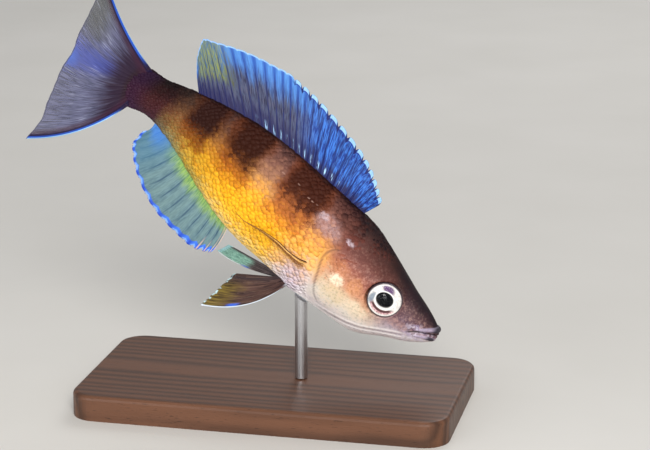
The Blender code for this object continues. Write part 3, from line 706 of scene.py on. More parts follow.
def skin_finish(nodes):
    paint, far, high, z = fish_colour(nodes)
    nape = z.rise(1.0, 4.0) * far.rise(14.0, 18.0)
    head = far.rise(31.0, 27.0) * (1.0 - nape * 0.4)
    blotch = nodes.noise(0.0007, 5.0, 0.75)
    fleck = nodes.noise(0.0004, 4.0, 0.7)
    pale = nodes.mix(paint, 'E4B8A4', 0.26)
    paint = paint.lay(pale, head * blotch.rise(0.48, 0.64) * high.rise(0.98, 0.7) * 0.8)
    paint = paint.lay(nodes.mix(paint, '321214', 0.42), head * blotch.rise(0.5, 0.38) * 0.75)
    paint = paint.lay('2E120E', nape * 0.2)
    streaks = nodes.noise(0.0011, 3.0, 0.6).rise(0.5, 0.6) * far.rise(9.0, 5.0) * high.rise(0.75, 0.55)
    paint = paint.lay('D8D0E0', streaks * 0.45)
    mouth, lips, gutter = nodes.parts('relief')
    dark_line, pale_line, lit_belly_edge = nodes.parts('lines')
    paint = paint.lay('5C4A54', dark_line * 0.6)
    # the white belly edge is partly the skin's pale edge and partly painted light on the underside
    paint = paint.lay('FFFAF8', pale_line.most(lit_belly_edge) * 0.85)
    paint = paint.lay(nodes.mix('746880', 'BCAEC2', fleck), lips * 0.8)
    paint = paint.lay(nodes.mix('1A161C', '443E48', fleck), lips * far.rise(2.3, 1.1))
    # painted shade: the mouth slit is darkened almost to black
    paint = paint.lay('150C10', mouth)
    # painted shade in the gutter behind the gill cover's free edge
    paint = paint.lay(nodes.mix(paint, '30181A', 0.6), gutter)
    grain = nodes.noise(0.00045, 4.0)
    return {'Base Color': paint, 'Roughness': grain * 0.2 + nape * 0.22 + 0.34,
            'Coat Weight': (1.0 - nape * 0.8) * 0.12, 'Normal': nodes.bump(0.5, 0.0002, grain)}


def skin_lines():
    """Fine lines that the skin carries: dark and pale along the jaw and throat, and the white belly edge,
    which is partly pale skin and partly painted light on the underside.
    """
    s, z = skin_points[:, 0], skin_points[:, 2]
    dark, share = line_distance(s, z, THROAT_LINE)
    below, _ = line_distance(s, z, [(a, b - 0.75) for a, b in THROAT_LINE])
    above, _ = line_distance(s, z, [(a, b + 0.7) for a, b in THROAT_LINE])
    fade = rise(share, 0.0, 0.1) * rise(share, 1.0, 0.9)
    # white along the belly's edge, partly painted light on the underside
    belly = rise(share_of_height(s, z), 0.08, 0.02) * rise(s, 2.0, 5.0) * rise(s, 54.0, 50.0)
    pale = np.exp(-(below / 0.22) ** 2) + 0.6 * np.exp(-(above / 0.2) ** 2)
    return np.stack((np.exp(-(dark / 0.2) ** 2) * fade, pale * fade, belly), -1)


def skin_marks():
    """Where the mouth slit, the lips and the gill gutter are, for the skin's material, which darkens the slit
    and the gutter with painted shade.
    """
    s, z = skin_points[:, 0], skin_points[:, 2]
    distance, share = line_distance(s, z, MOUTH_LINE)
    mouth = np.exp(-(distance / 0.16) ** 2) * rise(share, 1.0, 0.85)
    lips = lips_height(skin_points, skin_outward)
    behind = s - gill_rear_at(z)
    gutter = rise(behind, 0.0, 0.2) * rise(behind, 0.9, 0.3) * rise(z, *GILL_FOOT) * rise(z, 3.4, 2.2)
    return np.stack((mouth, np.clip(lips / 0.25, 0, 1), gutter), -1)


skin_look = material("fish_skin", skin_finish, Specular_IOR_Level=0.2, Coat_Roughness=0.2)
skin = new_piece("fish_skin", to_world(skin_lifted), skin_faces, skin_look)
add_attribute(skin.data, 'fish', np.stack(
    (skin_points[:, 0], share_of_height(skin_points[:, 0], skin_points[:, 2]), skin_points[:, 2]), -1))
add_attribute(skin.data, 'relief', skin_marks())
add_attribute(skin.data, 'lines', skin_lines())
face_outward(skin)
hand_over(skin, "trunk_skin", "head", "lower_jaw", "gill_cover_right", "gill_cover_left", "trunk",
          "tail_stem")

# %% [markdown]
# ## Scales
# The body is covered by about sixty small scales in a row, each overlapping the next like roof tiles,
# with a bright middle and a darker rim. They could be a bump pattern, but their edges catch the light, so
# each is a thin closed plate. Their roots are laid out in rows along the flank, and Geometry Nodes put a
# plate on each root, turned to the skin and to the lie of the coat.

# %% Scale plate
def scale_plate():
    """One scale 1 unit across: a thin shield, its root forward and its round edge to the rear (+X)."""
    lower = [(-0.5, -0.3), (-0.15, -0.47), (0.14, -0.5), (0.42, -0.42), (0.64, -0.27), (0.79, -0.1)]
    outline = lower + [(0.82, 0.0)] + [(x, -y) for x, y in lower[::-1]]
    count = len(outline)
    top = [(x, y, 0.02 - 0.12 * y * y) for x, y in outline] + [(0.2, 0.0, 0.045)]
    under = [(x, y, -0.02 - 0.12 * y * y) for x, y in outline]
    faces = [(i, (i + 1) % count, count) for i in range(count)]
    faces += [(i, i + count + 1, (i + 1) % count + count + 1, (i + 1) % count) for i in range(count)]
    faces.append([count + 1 + i for i in range(count)][::-1])
    plate = new_piece("scale_plate", top + under, faces)
    add_attribute(plate.data, 'plate', [(x, y, 0.0) for x, y, _ in top + under])
    face_outward(plate)
    return plate


plate = scale_plate()
print("a scale has", sum(len(p.vertices) - 2 for p in plate.data.polygons), "triangles")

# %% [markdown]
# On the real fish the rows are staggered, shrink towards the tail and never lie quite evenly. The roots
# could be scattered, but scales grow in rows, so they are set out row by row along the flank's arc and each
# is then moved a little at random, always by the same draws.

# %% Roots of the scales
LAID_UNEVENLY = np.random.default_rng(3)
STRAY_ALONG, STRAY_ROUND = 0.15, 0.016
RING_STEPS = 240
LATERAL_LINE = ((31.9, 5.4), (36.0, 6.2), (41.0, 6.9), (46.0, 7.3), (52.0, 7.6))


def scale_roots(s_from, s_to, pitch, row_pitch, keep):
    """Roots in staggered rows on both flanks, where keep(s, z) is true, as (s, angle, size) arrays."""
    found, s, column = [], s_from, 0
    while s < s_to:
        shrink = 1.0 - 0.4 * float(rise(s, 60.0, 88.0))
        angle = np.linspace(-np.pi / 2, np.pi / 2, RING_STEPS)
        ring = body_point(np.full_like(angle, s), angle)[:, 1:]
        arc = np.concatenate(([0.0], np.cumsum(np.linalg.norm(np.diff(ring, axis=0), axis=1))))
        arc -= np.interp(0.0, angle, arc)
        step = row_pitch * 2 * shrink
        rows = np.arange(-60, 61) * step + (column % 2) * step / 2
        rows = rows[(rows > arc[0] + 0.1) & (rows < arc[-1] - 0.1)]
        found += [(s, a, shrink) for a in np.interp(rows, arc, angle)]
        s, column = s + pitch / 2 * shrink, column + 1
    s, angle, shrink = np.array(found).T
    z = body_point(s, angle)[:, 2]
    kept = keep(s, z)
    s, angle, shrink = s[kept], angle[kept], shrink[kept]
    s = s + LAID_UNEVENLY.normal(0, STRAY_ALONG, len(s))
    angle = angle + LAID_UNEVENLY.normal(0, STRAY_ROUND, len(s))
    return np.tile(s, 2), np.concatenate((angle, np.pi - angle)), np.tile(shrink, 2)


def roots_piece(name, roots, size, lift):
    """A mesh of loose points that carry what the tree needs to lay a scale on each."""
    s, angle, shrink = roots
    plain_at, normal = body_point(s, angle), body_normal(s, angle)
    z = plain_at[:, 2]
    up = lift(s, z) + np.where(s < 32.5, gill_height(s, z), 0.0)
    point = plain_at + normal * up[:, None]
    world_at = to_world(point)
    made = new_piece(name, world_at, [])
    add_attribute(made.data, 'outward', to_world(point + normal * 0.01) - world_at)
    ahead = body_point(s + 0.05, angle) - plain_at
    add_attribute(made.data, 'lie', to_world(point + ahead) - world_at)
    add_attribute(made.data, 'size', shrink * size * MM, kind='FLOAT')
    add_attribute(made.data, 'fish', np.stack((s, share_of_height(s, z), z), -1))
    span, side = shrink * size, shrink * size * normal[:, 1]
    add_attribute(made.data, 'spread', np.stack((span, side / (back_at(s) - belly_at(s)), side), -1))
    add_attribute(made.data, 'root_uv', np.stack((s / 100, (angle / (2 * np.pi)) % 1.0, 0 * s), -1))
    distance, share = line_distance(s, z, LATERAL_LINE)
    add_attribute(made.data, 'lateral', rise(distance, 0.33, 0.3) * rise(share, 1.0, 0.9), kind='FLOAT')
    return made


print("lateral line runs from", LATERAL_LINE[0][0], "to", LATERAL_LINE[-1][0], "mm behind the snout")

# %% [markdown]
# Thousands of plates can't be placed by hand. The tree puts one on each root, turns it to the skin, lifts
# its rear edge by an uneven tilt and twists it a little. It ends in plain geometry, because the export
# drops instances.

# %% Tree that lays scales
BAKE_CELL = 0.002  # share of the map that one scale takes


def geometry_tree(name, inputs):
    """An empty Geometry Nodes tree with named inputs, given as (name, kind, value)."""
    tree = bpy.data.node_groups.new(name, 'GeometryNodeTree')
    tree.interface.new_socket("Geometry", in_out='INPUT', socket_type='NodeSocketGeometry')
    tree.interface.new_socket("Geometry", in_out='OUTPUT', socket_type='NodeSocketGeometry')
    for label, kind, value in inputs:
        socket = tree.interface.new_socket(label, in_out='INPUT', socket_type='NodeSocket' + kind)
        if value is not None:
            socket.default_value = value
    nodes = Nodes(tree)
    entry = nodes.node('NodeGroupInput').socket.node
    given = {socket.name: Wire(socket, nodes) for socket in entry.outputs if socket.name}
    return nodes, given


def end_tree(nodes, made, given):
    """Gives a tree's result its material and sends it out."""
    made = nodes.node('GeometryNodeSetMaterial', {}, {'Geometry': made, 'Material': given["Finish"]})
    nodes.node('NodeGroupOutput', {}, {0: made})
    return nodes.tree


def named(nodes, name, kind='FLOAT_VECTOR'):
    """A field that the points carry."""
    return nodes.node('GeometryNodeInputNamedAttribute', {'data_type': kind}, {'Name': name})


def scale_tree():
    nodes, given = geometry_tree("lay_scales", (
        ("Plate", 'Object', None), ("Tilt", 'Float', 0.07), ("Unevenness", 'Float', 0.11),
        ("Seed", 'Int', 7), ("Finish", 'Material', None)))
    turned = nodes.node('FunctionNodeAlignRotationToVector', {'axis': 'Z'},
                        {'Vector': named(nodes, 'outward')})
    turned = nodes.node('FunctionNodeAlignRotationToVector', {'axis': 'X', 'pivot_axis': 'Z'},
                        {'Rotation': turned, 'Vector': named(nodes, 'lie')})
    uneven = nodes.node('FunctionNodeRandomValue', {}, {2: 0.0, 3: 1.0, 'Seed': given["Seed"]}, 1) - 0.5
    tilt = (given["Tilt"] + uneven * given["Unevenness"]) * -1.0
    twist = nodes.node('FunctionNodeRandomValue', {}, {2: -0.2, 3: 0.2, 'Seed': given["Seed"] + 1}, 1)
    for axis, angle in (((0.0, 1.0, 0.0), tilt), ((0.0, 0.0, 1.0), twist)):
        by = nodes.node('FunctionNodeAxisAngleToRotation', {}, {'Axis': axis, 'Angle': angle})
        turned = nodes.node('FunctionNodeRotateRotation', {'rotation_space': 'LOCAL'},
                            {'Rotation': turned, 'Rotate By': by})
    size = named(nodes, 'size', 'FLOAT') * (uneven * given["Unevenness"] + 1.0)
    plate_mesh = nodes.node('GeometryNodeObjectInfo', {}, {'Object': given["Plate"]}, 4)
    laid = nodes.node('GeometryNodeInstanceOnPoints', {}, {
        'Points': given["Geometry"], 'Instance': plate_mesh, 'Rotation': turned, 'Scale': size})
    real = nodes.node('GeometryNodeRealizeInstances', {}, {0: laid})
    cell = nodes.node('ShaderNodeVectorMath', {'operation': 'SCALE'},
                      {0: named(nodes, 'plate'), 'Scale': BAKE_CELL})
    cell = nodes.node('ShaderNodeVectorMath', {'operation': 'ADD'}, {0: cell, 1: named(nodes, 'root_uv')})
    real = nodes.node('GeometryNodeStoreNamedAttribute', {'data_type': 'FLOAT2', 'domain': 'CORNER'},
                      {'Geometry': real, 'Name': 'OFBake', 'Value': cell})
    return end_tree(nodes, real, given)


def grow(piece, tree, **inputs):
    """Runs a tree on a piece and keeps its result as a plain mesh."""
    modifier = piece.modifiers.new("tree", 'NODES')
    modifier.node_group = tree
    for item in tree.interface.items_tree:
        if item.in_out == 'INPUT' and item.name in inputs:
            modifier[item.identifier] = inputs[item.name]
    view = bpy.context.evaluated_depsgraph_get()
    result = bpy.data.meshes.new_from_object(piece.evaluated_get(view), depsgraph=view)
    piece.modifiers.clear()
    result.name = piece.name
    piece.data = result
    return piece


lay_scales = scale_tree()
print("tree lay_scales has", len(lay_scales.nodes), "nodes")

# %% [markdown]
# ## Finish of the scales
# A scale is a clear plate over silver and pigment: its middle is bright and slightly metallic, partly its own
# silver and partly painted sheen, its rim is warm brown, and the whole is wet. The colour below comes from
# the fish's markings at the scale's root.

# %% Scale finish and coat
def scale_finish(nodes):
    chance = nodes.node('ShaderNodeTexWhiteNoise', {'noise_dimensions': '3D'}, {'Vector': nodes.held('fish')})
    x, y, _ = nodes.parts('plate')
    root, spread = nodes.parts('fish'), nodes.parts('spread')
    place = [at + step * off for at, step, off in zip(root, spread, (x, y, y))]
    paint, far, high, _ = fish_colour(nodes, (chance - 0.5) * 0.15, place)
    away = ((x - 0.1) * (x - 0.1) * 0.9 + y * y * 2.1) ** 0.5
    rim, middle = away.rise(0.42, 0.7), away.rise(0.62, 0.0)
    yellow = high.band(0.1, 0.57, 0.09) * far.rise(30.0, 38.0) * far.rise(84.0, 74.0)
    # painted sheen: the middles of the yellow scales are lightened over their own paler silver
    paint = paint.lay('FFE090', middle * yellow * chance.rise(0.25, 0.95) * 0.6, 'OVERLAY')
    paint = paint.lay(nodes.mix(paint, 'B04804', 0.44), rim * yellow * (1.0 - chance * 0.9))
    paint = paint.lay(nodes.mix(paint, '9A5410', 0.4), chance.rise(0.55, 1.0) * yellow * 0.75)
    lateral = nodes.node('ShaderNodeAttribute', {'attribute_name': 'lateral'}, output=2)
    pored = lateral * abs(y).rise(0.13, 0.05) * x.band(-0.1, 0.45, 0.1) * chance.rise(0.35, 0.9)
    paint = paint.lay('D8B0A0', pored * 0.32)
    grain = nodes.noise(0.0004)
    return {'Base Color': paint, 'Roughness': grain * 0.15 + high.rise(0.45, 0.7) * 0.2 + 0.44,
            'Metallic': middle * yellow * 0.15}


def behind_gill(s, z):
    """Distance behind the edge where the trunk's scales begin, in millimetres."""
    return s - gill_rear_at(z) - 0.6 + 4.2 * rise(z, 1.2, 5.0)


def trunk_lift(s, z):
    """The trunk's scales sink behind the gill, and on the breast, where they are small and smooth."""
    breast = rise(z, -7.5, -10.5) * rise(s, 44.0, 36.0)
    return -0.15 + 0.04 * rise(behind_gill(s, z), 0.0, 2.5) - 0.05 * breast


def head_room(s, z):
    """How far inside the scaled part of the head a place is, in millimetres."""
    nape = np.minimum(z - 6.0 + 0.16 * (s - 14.0), s - 17.0)
    cover = np.minimum(np.minimum(s - 24.4, gill_rear_at(z) - 1.2 - s), z + 8.6)
    inside = np.where(z > 2.6, nape, np.minimum(cover, 3.4 - z))
    return np.minimum(inside, np.where(z > 2.6, -behind_gill(s, z) + 0.6, 9.0))


def head_lift(s, z):
    """The head's scales sink under the skin towards the edges of their patches."""
    return -0.15 + 0.06 * rise(head_room(s, z), 0.0, 2.5)


def lay_coat(name, slot, reach, pitches, size, room, lift, **settings):
    """The coat of one region: reach is where it begins and ends, pitches are along and across its rows."""
    roots = scale_roots(*reach, *pitches, lambda s, z: room(s, z) > 0)
    laid = roots_piece(name, roots, size, lift)
    print(name, "have", len(laid.data.vertices), "roots")
    grow(laid, lay_scales, Plate=plate, Finish=scale_look, **settings)
    hand_over(laid, slot)


scale_look = material("scales", scale_finish, Specular_IOR_Level=0.09, Coat_Weight=0.03,
                      Coat_Roughness=0.35)
lay_coat("trunk_scales", "trunk_skin", (25.0, 91.5), (1.34, 0.7), 1.52, behind_gill, trunk_lift,
         Seed=11, Tilt=0.055)
lay_coat("head_scales", "head_skin", (16.0, 31.0), (1.2, 0.62), 1.3, head_room, head_lift,
         Seed=5, Tilt=0.04, Unevenness=0.04)
bpy.data.objects.remove(plate, do_unlink=True)

# %% [markdown]
# ## Eyes
# A fish's eye is a shallow ball with a silver iris and a black round lens that bulges from the pupil,
# under a clear cornea. Three turned forms give this: the iris, the lens and the cornea, so highlights lie
# on the cornea and the colour lies below it.

# %% Eye mesh
IRIS_STEPS, PUPIL_RADIUS = 72, 1.98
EYE_PITCH, EYE_YAW = math.radians(7.0), math.radians(9.0)
TURNS = 2 * np.pi * np.arange(IRIS_STEPS) / IRIS_STEPS


def eye_places(side, profile):
    """Rings round the eye's axis, from (radius, height) pairs, as world places."""
    s, z = EYE_AT
    flank = flank_at(s, z)
    pitch, yaw = side * EYE_PITCH, -side * EYE_YAW
    rows = []
    for radius, height in profile:
        oval = 0.07 * rise(radius, 3.6, 2.3)
        x, y = (1.02 + oval) * radius * np.cos(TURNS), np.full(IRIS_STEPS, side * height)
        up = (1.0 - oval) * radius * np.sin(TURNS)
        y, up = y * math.cos(pitch) - up * math.sin(pitch), y * math.sin(pitch) + up * math.cos(pitch)
        x, y = x * math.cos(yaw) - y * math.sin(yaw), x * math.sin(yaw) + y * math.cos(yaw)
        rows.append(np.stack((s - x, y + side * (flank + EYE_STANDS_OUT - EYE_DEPTH), z + up), -1))
    return np.concatenate(rows)


def turned_eye(name, side, profile, look):
    """A closed turned form on the eye's axis."""
    places = eye_places(side, profile)
    faces = grid_faces(len(profile), IRIS_STEPS, closed=True)
    faces.append(list(range(IRIS_STEPS)))
    faces.append([(len(profile) - 1) * IRIS_STEPS + k for k in range(IRIS_STEPS)][::-1])
    made = new_piece(name, to_world(places), faces, look)
    add_attribute(made.data, 'iris', np.concatenate([np.stack(
        (r * np.cos(TURNS), r * np.sin(TURNS), np.full(IRIS_STEPS, r)), -1) for r, _ in profile]))
    face_outward(made)
    return made


def dome(radius):
    """Height of the eye's shallow front at a radius, over the eyeball's middle."""
    return 2.02 + 0.68 * math.sqrt(max(1 - (radius / EYE_RADIUS) ** 2, 0.0))


iris_profile = [(0.2, 1.2), (PUPIL_RADIUS - 0.12, 1.6), (PUPIL_RADIUS, dome(PUPIL_RADIUS) - 0.3)]
iris_profile += [(r, dome(r) - 0.24 * (1 - (r / EYE_RADIUS) ** 3)) for r in np.linspace(2.05, 4.03, 14)]
iris_profile += [(4.05, 1.7), (3.9, -0.4), (2.2, -1.9), (0.3, -2.3)]
lens_profile = [(r, 1.55 + 0.92 * math.sqrt(1 - (r / PUPIL_RADIUS) ** 2)) for r in np.linspace(0.05, 1.9, 10)]
lens_profile += [(1.85, 1.2), (0.1, 1.1)]
cornea_profile = [(r, dome(r) + 0.03) for r in np.linspace(0.06, 4.04, 16)]
cornea_profile += [(r, dome(r) - 0.06) for r in np.linspace(3.96, 0.06, 12)]


def iris_finish(nodes):
    """Silver-white ring with a violet patch above, a maroon crescent below and fine threads."""
    x, up, r = nodes.parts('iris')
    threads = nodes.noise(0.0004, 4.0, 0.65)
    silver = nodes.mix('BEB8B6', 'EEE8E2', threads.rise(0.3, 0.55))
    ring = r.band(2.3, 3.5, 0.2)
    top = patch(x + up * 0.35, up, (0.1, 2.7), (2.0, 1.3)) * ring * threads.rise(0.2, 0.42)
    silver = silver.lay(nodes.mix('220A2C', '6E3A80', threads), top)
    low = (x * 0.15 - up).rise(0.9, 2.0)
    rosy = nodes.mix('9A5058', 'F0C0C4', threads.rise(0.35, 0.65))
    silver = silver.lay(rosy, low * r.band(2.9, 3.35, 0.12) * 0.85)
    silver = silver.lay('4A141A', low * r.band(2.45, 3.0, 0.12) * threads.rise(0.1, 0.3))
    silver = silver.lay('5E7488', patch(x, up, (-2.7, -1.1), (0.9, 1.8)) * 0.8)
    silver = silver.lay('FFFFFF', r.band(1.95, 2.3, 0.1) * 0.7)
    silver = silver.lay('3A2C34', r.rise(3.62, 3.86))
    return {'Base Color': silver, 'Roughness': threads * 0.2 + 0.35}


def lens_finish(nodes):
    """Black, wet and almost even."""
    r = nodes.parts('iris')[2]
    return {'Base Color': nodes.mix('040405', '15151A', nodes.noise(0.001)),
            'Roughness': r * 0.01 + 0.04}


def cornea_finish(nodes):
    """Clear, and a little less so at its rim."""
    r = nodes.parts('iris')[2]
    return {'Alpha': r.rise(2.5, 4.0) * 0.02 + 0.04, 'Roughness': nodes.noise(0.001) * 0.02 + 0.02}


iris_look = material("iris", iris_finish, Coat_Weight=0.4, Coat_Roughness=0.03)
lens_look = material("eye_lens", lens_finish, Specular_IOR_Level=0.05, Coat_Weight=0.3,
                     Coat_Roughness=0.01)
cornea_look = material("cornea", cornea_finish, Base_Color=colour('101014'), IOR=1.5)
for side, word in ((-1, "right"), (1, "left")):
    ball = turned_eye("iris_" + word, side, iris_profile, iris_look)
    hand_over(ball, "eye_lens", "eye_" + word)
    hand_over(turned_eye("lens_" + word, side, lens_profile, lens_look), "eye_lens")
    hand_over(turned_eye("cornea_" + word, side, cornea_profile, cornea_look), "eye_lens")

# %% [markdown]
# ## Fins
# A fin is a fan of bony rays with skin thinner than paper between them. Stiff spines carry the front of
# the dorsal and anal fins, and soft rays split towards their tips. The membrane is a thin closed sheet
# with scalloped edges. The rays are lines that Geometry Nodes turn into tapering rods, so the light
# catches them as it does on the real fin.

# %% Fin surfaces
DORSAL = ((30.9, 29.1, 15.7), (34.0, 33.6, 18.8), (38.0, 39.6, 21.6), (43.0, 48.0, 23.7),
          (48.0, 56.5, 24.7), (52.5, 62.9, 25.0), (57.0, 68.5, 23.8), (63.0, 75.5, 22.0),
          (69.0, 81.2, 20.0), (73.0, 84.0, 18.5), (75.5, 82.7, 14.6), (77.0, 80.0, 10.8))
ANAL = ((52.8, 51.8, -20.5), (54.6, 53.6, -21.9), (57.0, 56.6, -22.8), (60.0, 60.6, -22.8),
        (64.0, 66.0, -22.1), (68.0, 71.2, -20.7), (72.0, 76.6, -17.5), (75.5, 80.2, -14.2),
        (78.5, 82.1, -11.3), (80.9, 82.0, -7.6))
TAIL = ((5.6, 111.5, 19.8), (4.8, 109.6, 14.5), (3.4, 108.8, 9.6), (2.0, 107.8, 4.2), (0.9, 106.6, 0.0),
        (-0.3, 106.2, -4.2), (-1.4, 105.2, -9.0), (-2.5, 104.0, -14.0), (-3.5, 102.6, -18.8),
        (-4.4, 102.8, -24.6))
PELVIC_BASE = ((33.7, 1.9), (35.9, 0.9))
RIGHT_PELVIC = ((12.2, 17.6, -9.6), (8.8, 7.1, -2.9), (2.0, 0.0, -1.6))
LEFT_PELVIC = ((18.2, 13.0, -11.0), (14.4, 8.1, -5.2), (-0.5, 0.0, -1.6))
PECTORAL = ((33.1, -4.6, 54.8, -5.2), (33.3, -5.3, 52.0, -7.9), (33.4, -6.1, 47.6, -9.3),
            (33.3, -7.0, 41.0, -9.9))
PECTORAL_EDGE = ((0.0, 0.0), (0.1, -0.35), (0.22, -0.55), (0.4, -0.2), (0.62, -0.75), (0.83, -1.7),
                 (0.94, -1.3), (1.0, 0.0))
SINK = 0.45


def row_curves(rows):
    places = np.linspace(0.0, 1.0, len(rows))
    return [smooth_curve(list(zip(places, values))) for values in zip(*rows)]


def straight_fan(base, tip, bow):
    """A fin's surface: a point for each place along the fin (0 to 1) and out along its rays (0 to 1)."""
    def surface(p, t):
        root, end = np.stack(base(p), -1), np.stack(tip(p), -1)
        lift = 4 * t * (1 - t)
        return root + (end - root) * t[..., None] + np.stack(bow(p), -1) * lift[..., None]
    return surface


def dorsal_surface():
    base_s, tip_s, tip_z = row_curves(DORSAL)
    return straight_fan(lambda p: (base_s(p), 0 * p, back_at(base_s(p)) - SINK),
                        lambda p: (tip_s(p), 0 * p, tip_z(p)), lambda p: (0.5 * p, 0 * p, 0.5 * p))


def anal_surface():
    base_s, tip_s, tip_z = row_curves(ANAL)
    return straight_fan(lambda p: (base_s(p), 0 * p, belly_at(base_s(p)) + SINK),
                        lambda p: (tip_s(p), 0 * p, tip_z(p)),
                        lambda p: (-0.3 - 0.3 * p, 0 * p, -0.6 * p))


def tail_surface():
    base_z, tip_s, tip_z = row_curves(TAIL)
    return straight_fan(lambda p: (tail_end_at(base_z(p)) - 1.2, 0 * p, base_z(p)),
                        lambda p: (tip_s(p), 0 * p, tip_z(p)),
                        lambda p: (0.7 - 2.6 * p, 0 * p, -1.2 - 0.2 * p))


def belly_under(s, y):
    """Height of the belly's surface y to the side of the middle."""
    middle, half = middle_and_half(s)
    part = np.minimum(np.abs(y) / half_width_at(s), 0.99) ** (1 / SIDE_ROUNDNESS)
    return middle - half * np.sqrt(1 - part * part)


def pelvic_surface(side, rays):
    leading, trailing, bow = np.array(rays)

    def base(p):
        s, y = (a + (b - a) * p for a, b in zip(*PELVIC_BASE))
        return s, side * y, belly_under(s, y) + SINK

    def tip(p):
        s, y, z = base(p)
        back, out, up = (a + (b - a) * p ** 0.8 for a, b in zip(leading, trailing))
        return s + back, y + side * out, z - SINK - 0.56 + up
    return straight_fan(base, tip, lambda p: (-bow[0] * (1 - p), 0 * p, bow[2] * (1 - p)))


def pectoral_surface(side):
    base_s, base_z, tip_s, tip_z = row_curves(PECTORAL)
    edge = smooth_curve(PECTORAL_EDGE)

    def surface(p, t):
        s = base_s(p) + (tip_s(p) - base_s(p)) * t
        z = base_z(p) + (tip_z(p) - base_z(p)) * t
        z = z + edge(t) * (1 - p) ** 3 + 0.6 * p * (1 - p) * np.sin(np.pi * t)
        off = -0.25 + 0.93 * rise(t, 0.0, 0.12) + 1.1 * t
        return np.stack((s, side * (flank_at(s, z) + off), z), -1)
    return surface


print("dorsal fin's base is", round(DORSAL[-1][0] - DORSAL[0][0], 1), "mm long")

# %% [markdown]
# Between two rays the skin of a fin is a thin web whose edge dips. One flat card per fin could carry a
# picture of it, but its edge would be straight and it would have no thickness, so the sheet is a fine
# closed grid that is thicker along its rays.

# %% Membranes
def ray_length(surface, p, t):
    """Full length of the ray through each place, in millimetres."""
    return np.linalg.norm(surface(p, np.ones_like(t)) - surface(p, np.zeros_like(t)), axis=-1)


def rippled(surface, p, t, ripple):
    """The fin's surface with the slow waves of still water in it."""
    points = surface(p, t)
    points[..., 1] += ripple * np.sin(2 * np.pi * (p * 4.3 + t * 0.7)) * t
    return points


def edge_distances(surface, p, t, tip_at):
    """Millimetres from a fin's leading edge, trailing edge and outer margin."""
    spread = np.linalg.norm(surface(np.ones_like(t), t) - surface(np.zeros_like(t), t), axis=-1)
    return np.stack((p * spread, (1 - p) * spread, tip_at - t * ray_length(surface, p, t)), -1)


def membrane(name, surface, rays, rows, scallop, thick, look, ripple, per_ray, square):
    """A thin closed sheet over a fin's surface. scallop(p) is how deep its edge dips between rays, and a
    larger square makes the dips narrower."""
    columns = rays * per_ray + 1
    p, t = np.meshgrid(np.linspace(0, 1, columns), np.linspace(0, 1, rows), indexing='xy')
    between = np.abs(2 * ((p * rays) % 1.0) - 1)
    length = ray_length(surface, p, t)
    reach = 1 - scallop(p) / length * between ** square
    out = t * reach
    points = rippled(surface, p, out, ripple)
    down, across = np.gradient(points, axis=0), np.gradient(points, axis=1)
    normal = unit(np.cross(down, across))
    half = thick * (1 - 0.5 * out) + 0.05 * (1 - between) ** 2
    both = np.concatenate([(points + k * normal * half[..., None]).reshape(-1, 3) for k in (1, -1)])
    total = rows * columns
    front = grid_faces(rows, columns)
    faces = front + [tuple(i + total for i in reversed(f)) for f in front]
    rim = list(range(columns)) + [r * columns + columns - 1 for r in range(1, rows)]
    rim += [(rows - 1) * columns + c for c in range(columns - 2, -1, -1)]
    rim += [r * columns for r in range(rows - 2, 0, -1)]
    faces += [(b, a, a + total, b + total) for a, b in zip(rim, rim[1:] + rim[:1])]
    made = new_piece(name, to_world(both), faces, look)
    fan = np.stack((p, out, between), -1).reshape(-1, 3)
    add_attribute(made.data, 'fan', np.concatenate((fan, fan)))
    edges = edge_distances(surface, p, out, reach * length).reshape(-1, 3)
    add_attribute(made.data, 'edges', np.concatenate((edges, edges)))
    face_outward(made)
    return made


print("membranes are ready")

# %% [markdown]
# Spines are single and stiff. Soft rays split in two and then in four, and all of them taper. They could be
# swept one by one, but a fish has some ninety, so their middle lines are drawn once and a tree runs a
# tapering ring along them all.

# %% Rays
def ray_lines(surface, count, spines, thick, ripple, steps):
    """Lines of the rays: spines are single, soft rays split in two and then in four."""
    places, edges, girth, fan, margins = [], [], [], [], []

    def line(p_at, t_from, t_to, width):
        t = np.linspace(t_from, t_to, max(int(steps * (t_to - t_from)), 5))
        p = np.clip(p_at(t), 0.0, 1.0)
        start = sum(len(x) for x in places)
        places.append(rippled(surface, p, t, ripple))
        edges.extend((start + i, start + i + 1) for i in range(len(t) - 1))
        girth.append(width * (1.0 - 0.62 * t))
        fan.append(np.stack((p, t, 0 * t), -1))
        margins.append(edge_distances(surface, p, t, ray_length(surface, p, t)))

    for i in range(count):
        middle = (i + 0.5) / count
        if i < spines:
            line(lambda t: middle + 0 * t, 0.0, 1.0, thick * 1.25)
            continue
        line(lambda t: middle + 0 * t, 0.0, 0.42, thick)
        for k in (-1, 1):
            first = lambda t: middle + k * 0.22 / count * rise(t, 0.38, 1.0)
            line(first, 0.4, 0.72, thick * 0.8)
            for j in (-1, 1):
                line(lambda t: first(t) + j * 0.13 / count * rise(t, 0.68, 1.05), 0.7, 1.0, thick * 0.62)
    return [np.concatenate(places), edges] + [np.concatenate(x) for x in (girth, fan, margins)]


def ray_tree():
    nodes, given = geometry_tree("rods_along_lines", (
        ("Sides", 'Int', 6), ("Thickness", 'Float', 1.0), ("Finish", 'Material', None)))
    lines = nodes.node('GeometryNodeMeshToCurve', {}, {'Mesh': given["Geometry"]})
    girth = named(nodes, 'girth', 'FLOAT') * given["Thickness"]
    ring = nodes.node('GeometryNodeCurvePrimitiveCircle', {}, {'Resolution': given["Sides"], 'Radius': 1.0})
    rods = nodes.node('GeometryNodeCurveToMesh', {},
                      {'Curve': lines, 'Profile Curve': ring, 'Scale': girth, 'Fill Caps': True})
    rods = nodes.node('GeometryNodeSetShadeSmooth', {}, {'Geometry': rods})
    rods = nodes.node('GeometryNodeRealizeInstances', {}, {0: rods})
    return end_tree(nodes, rods, given)


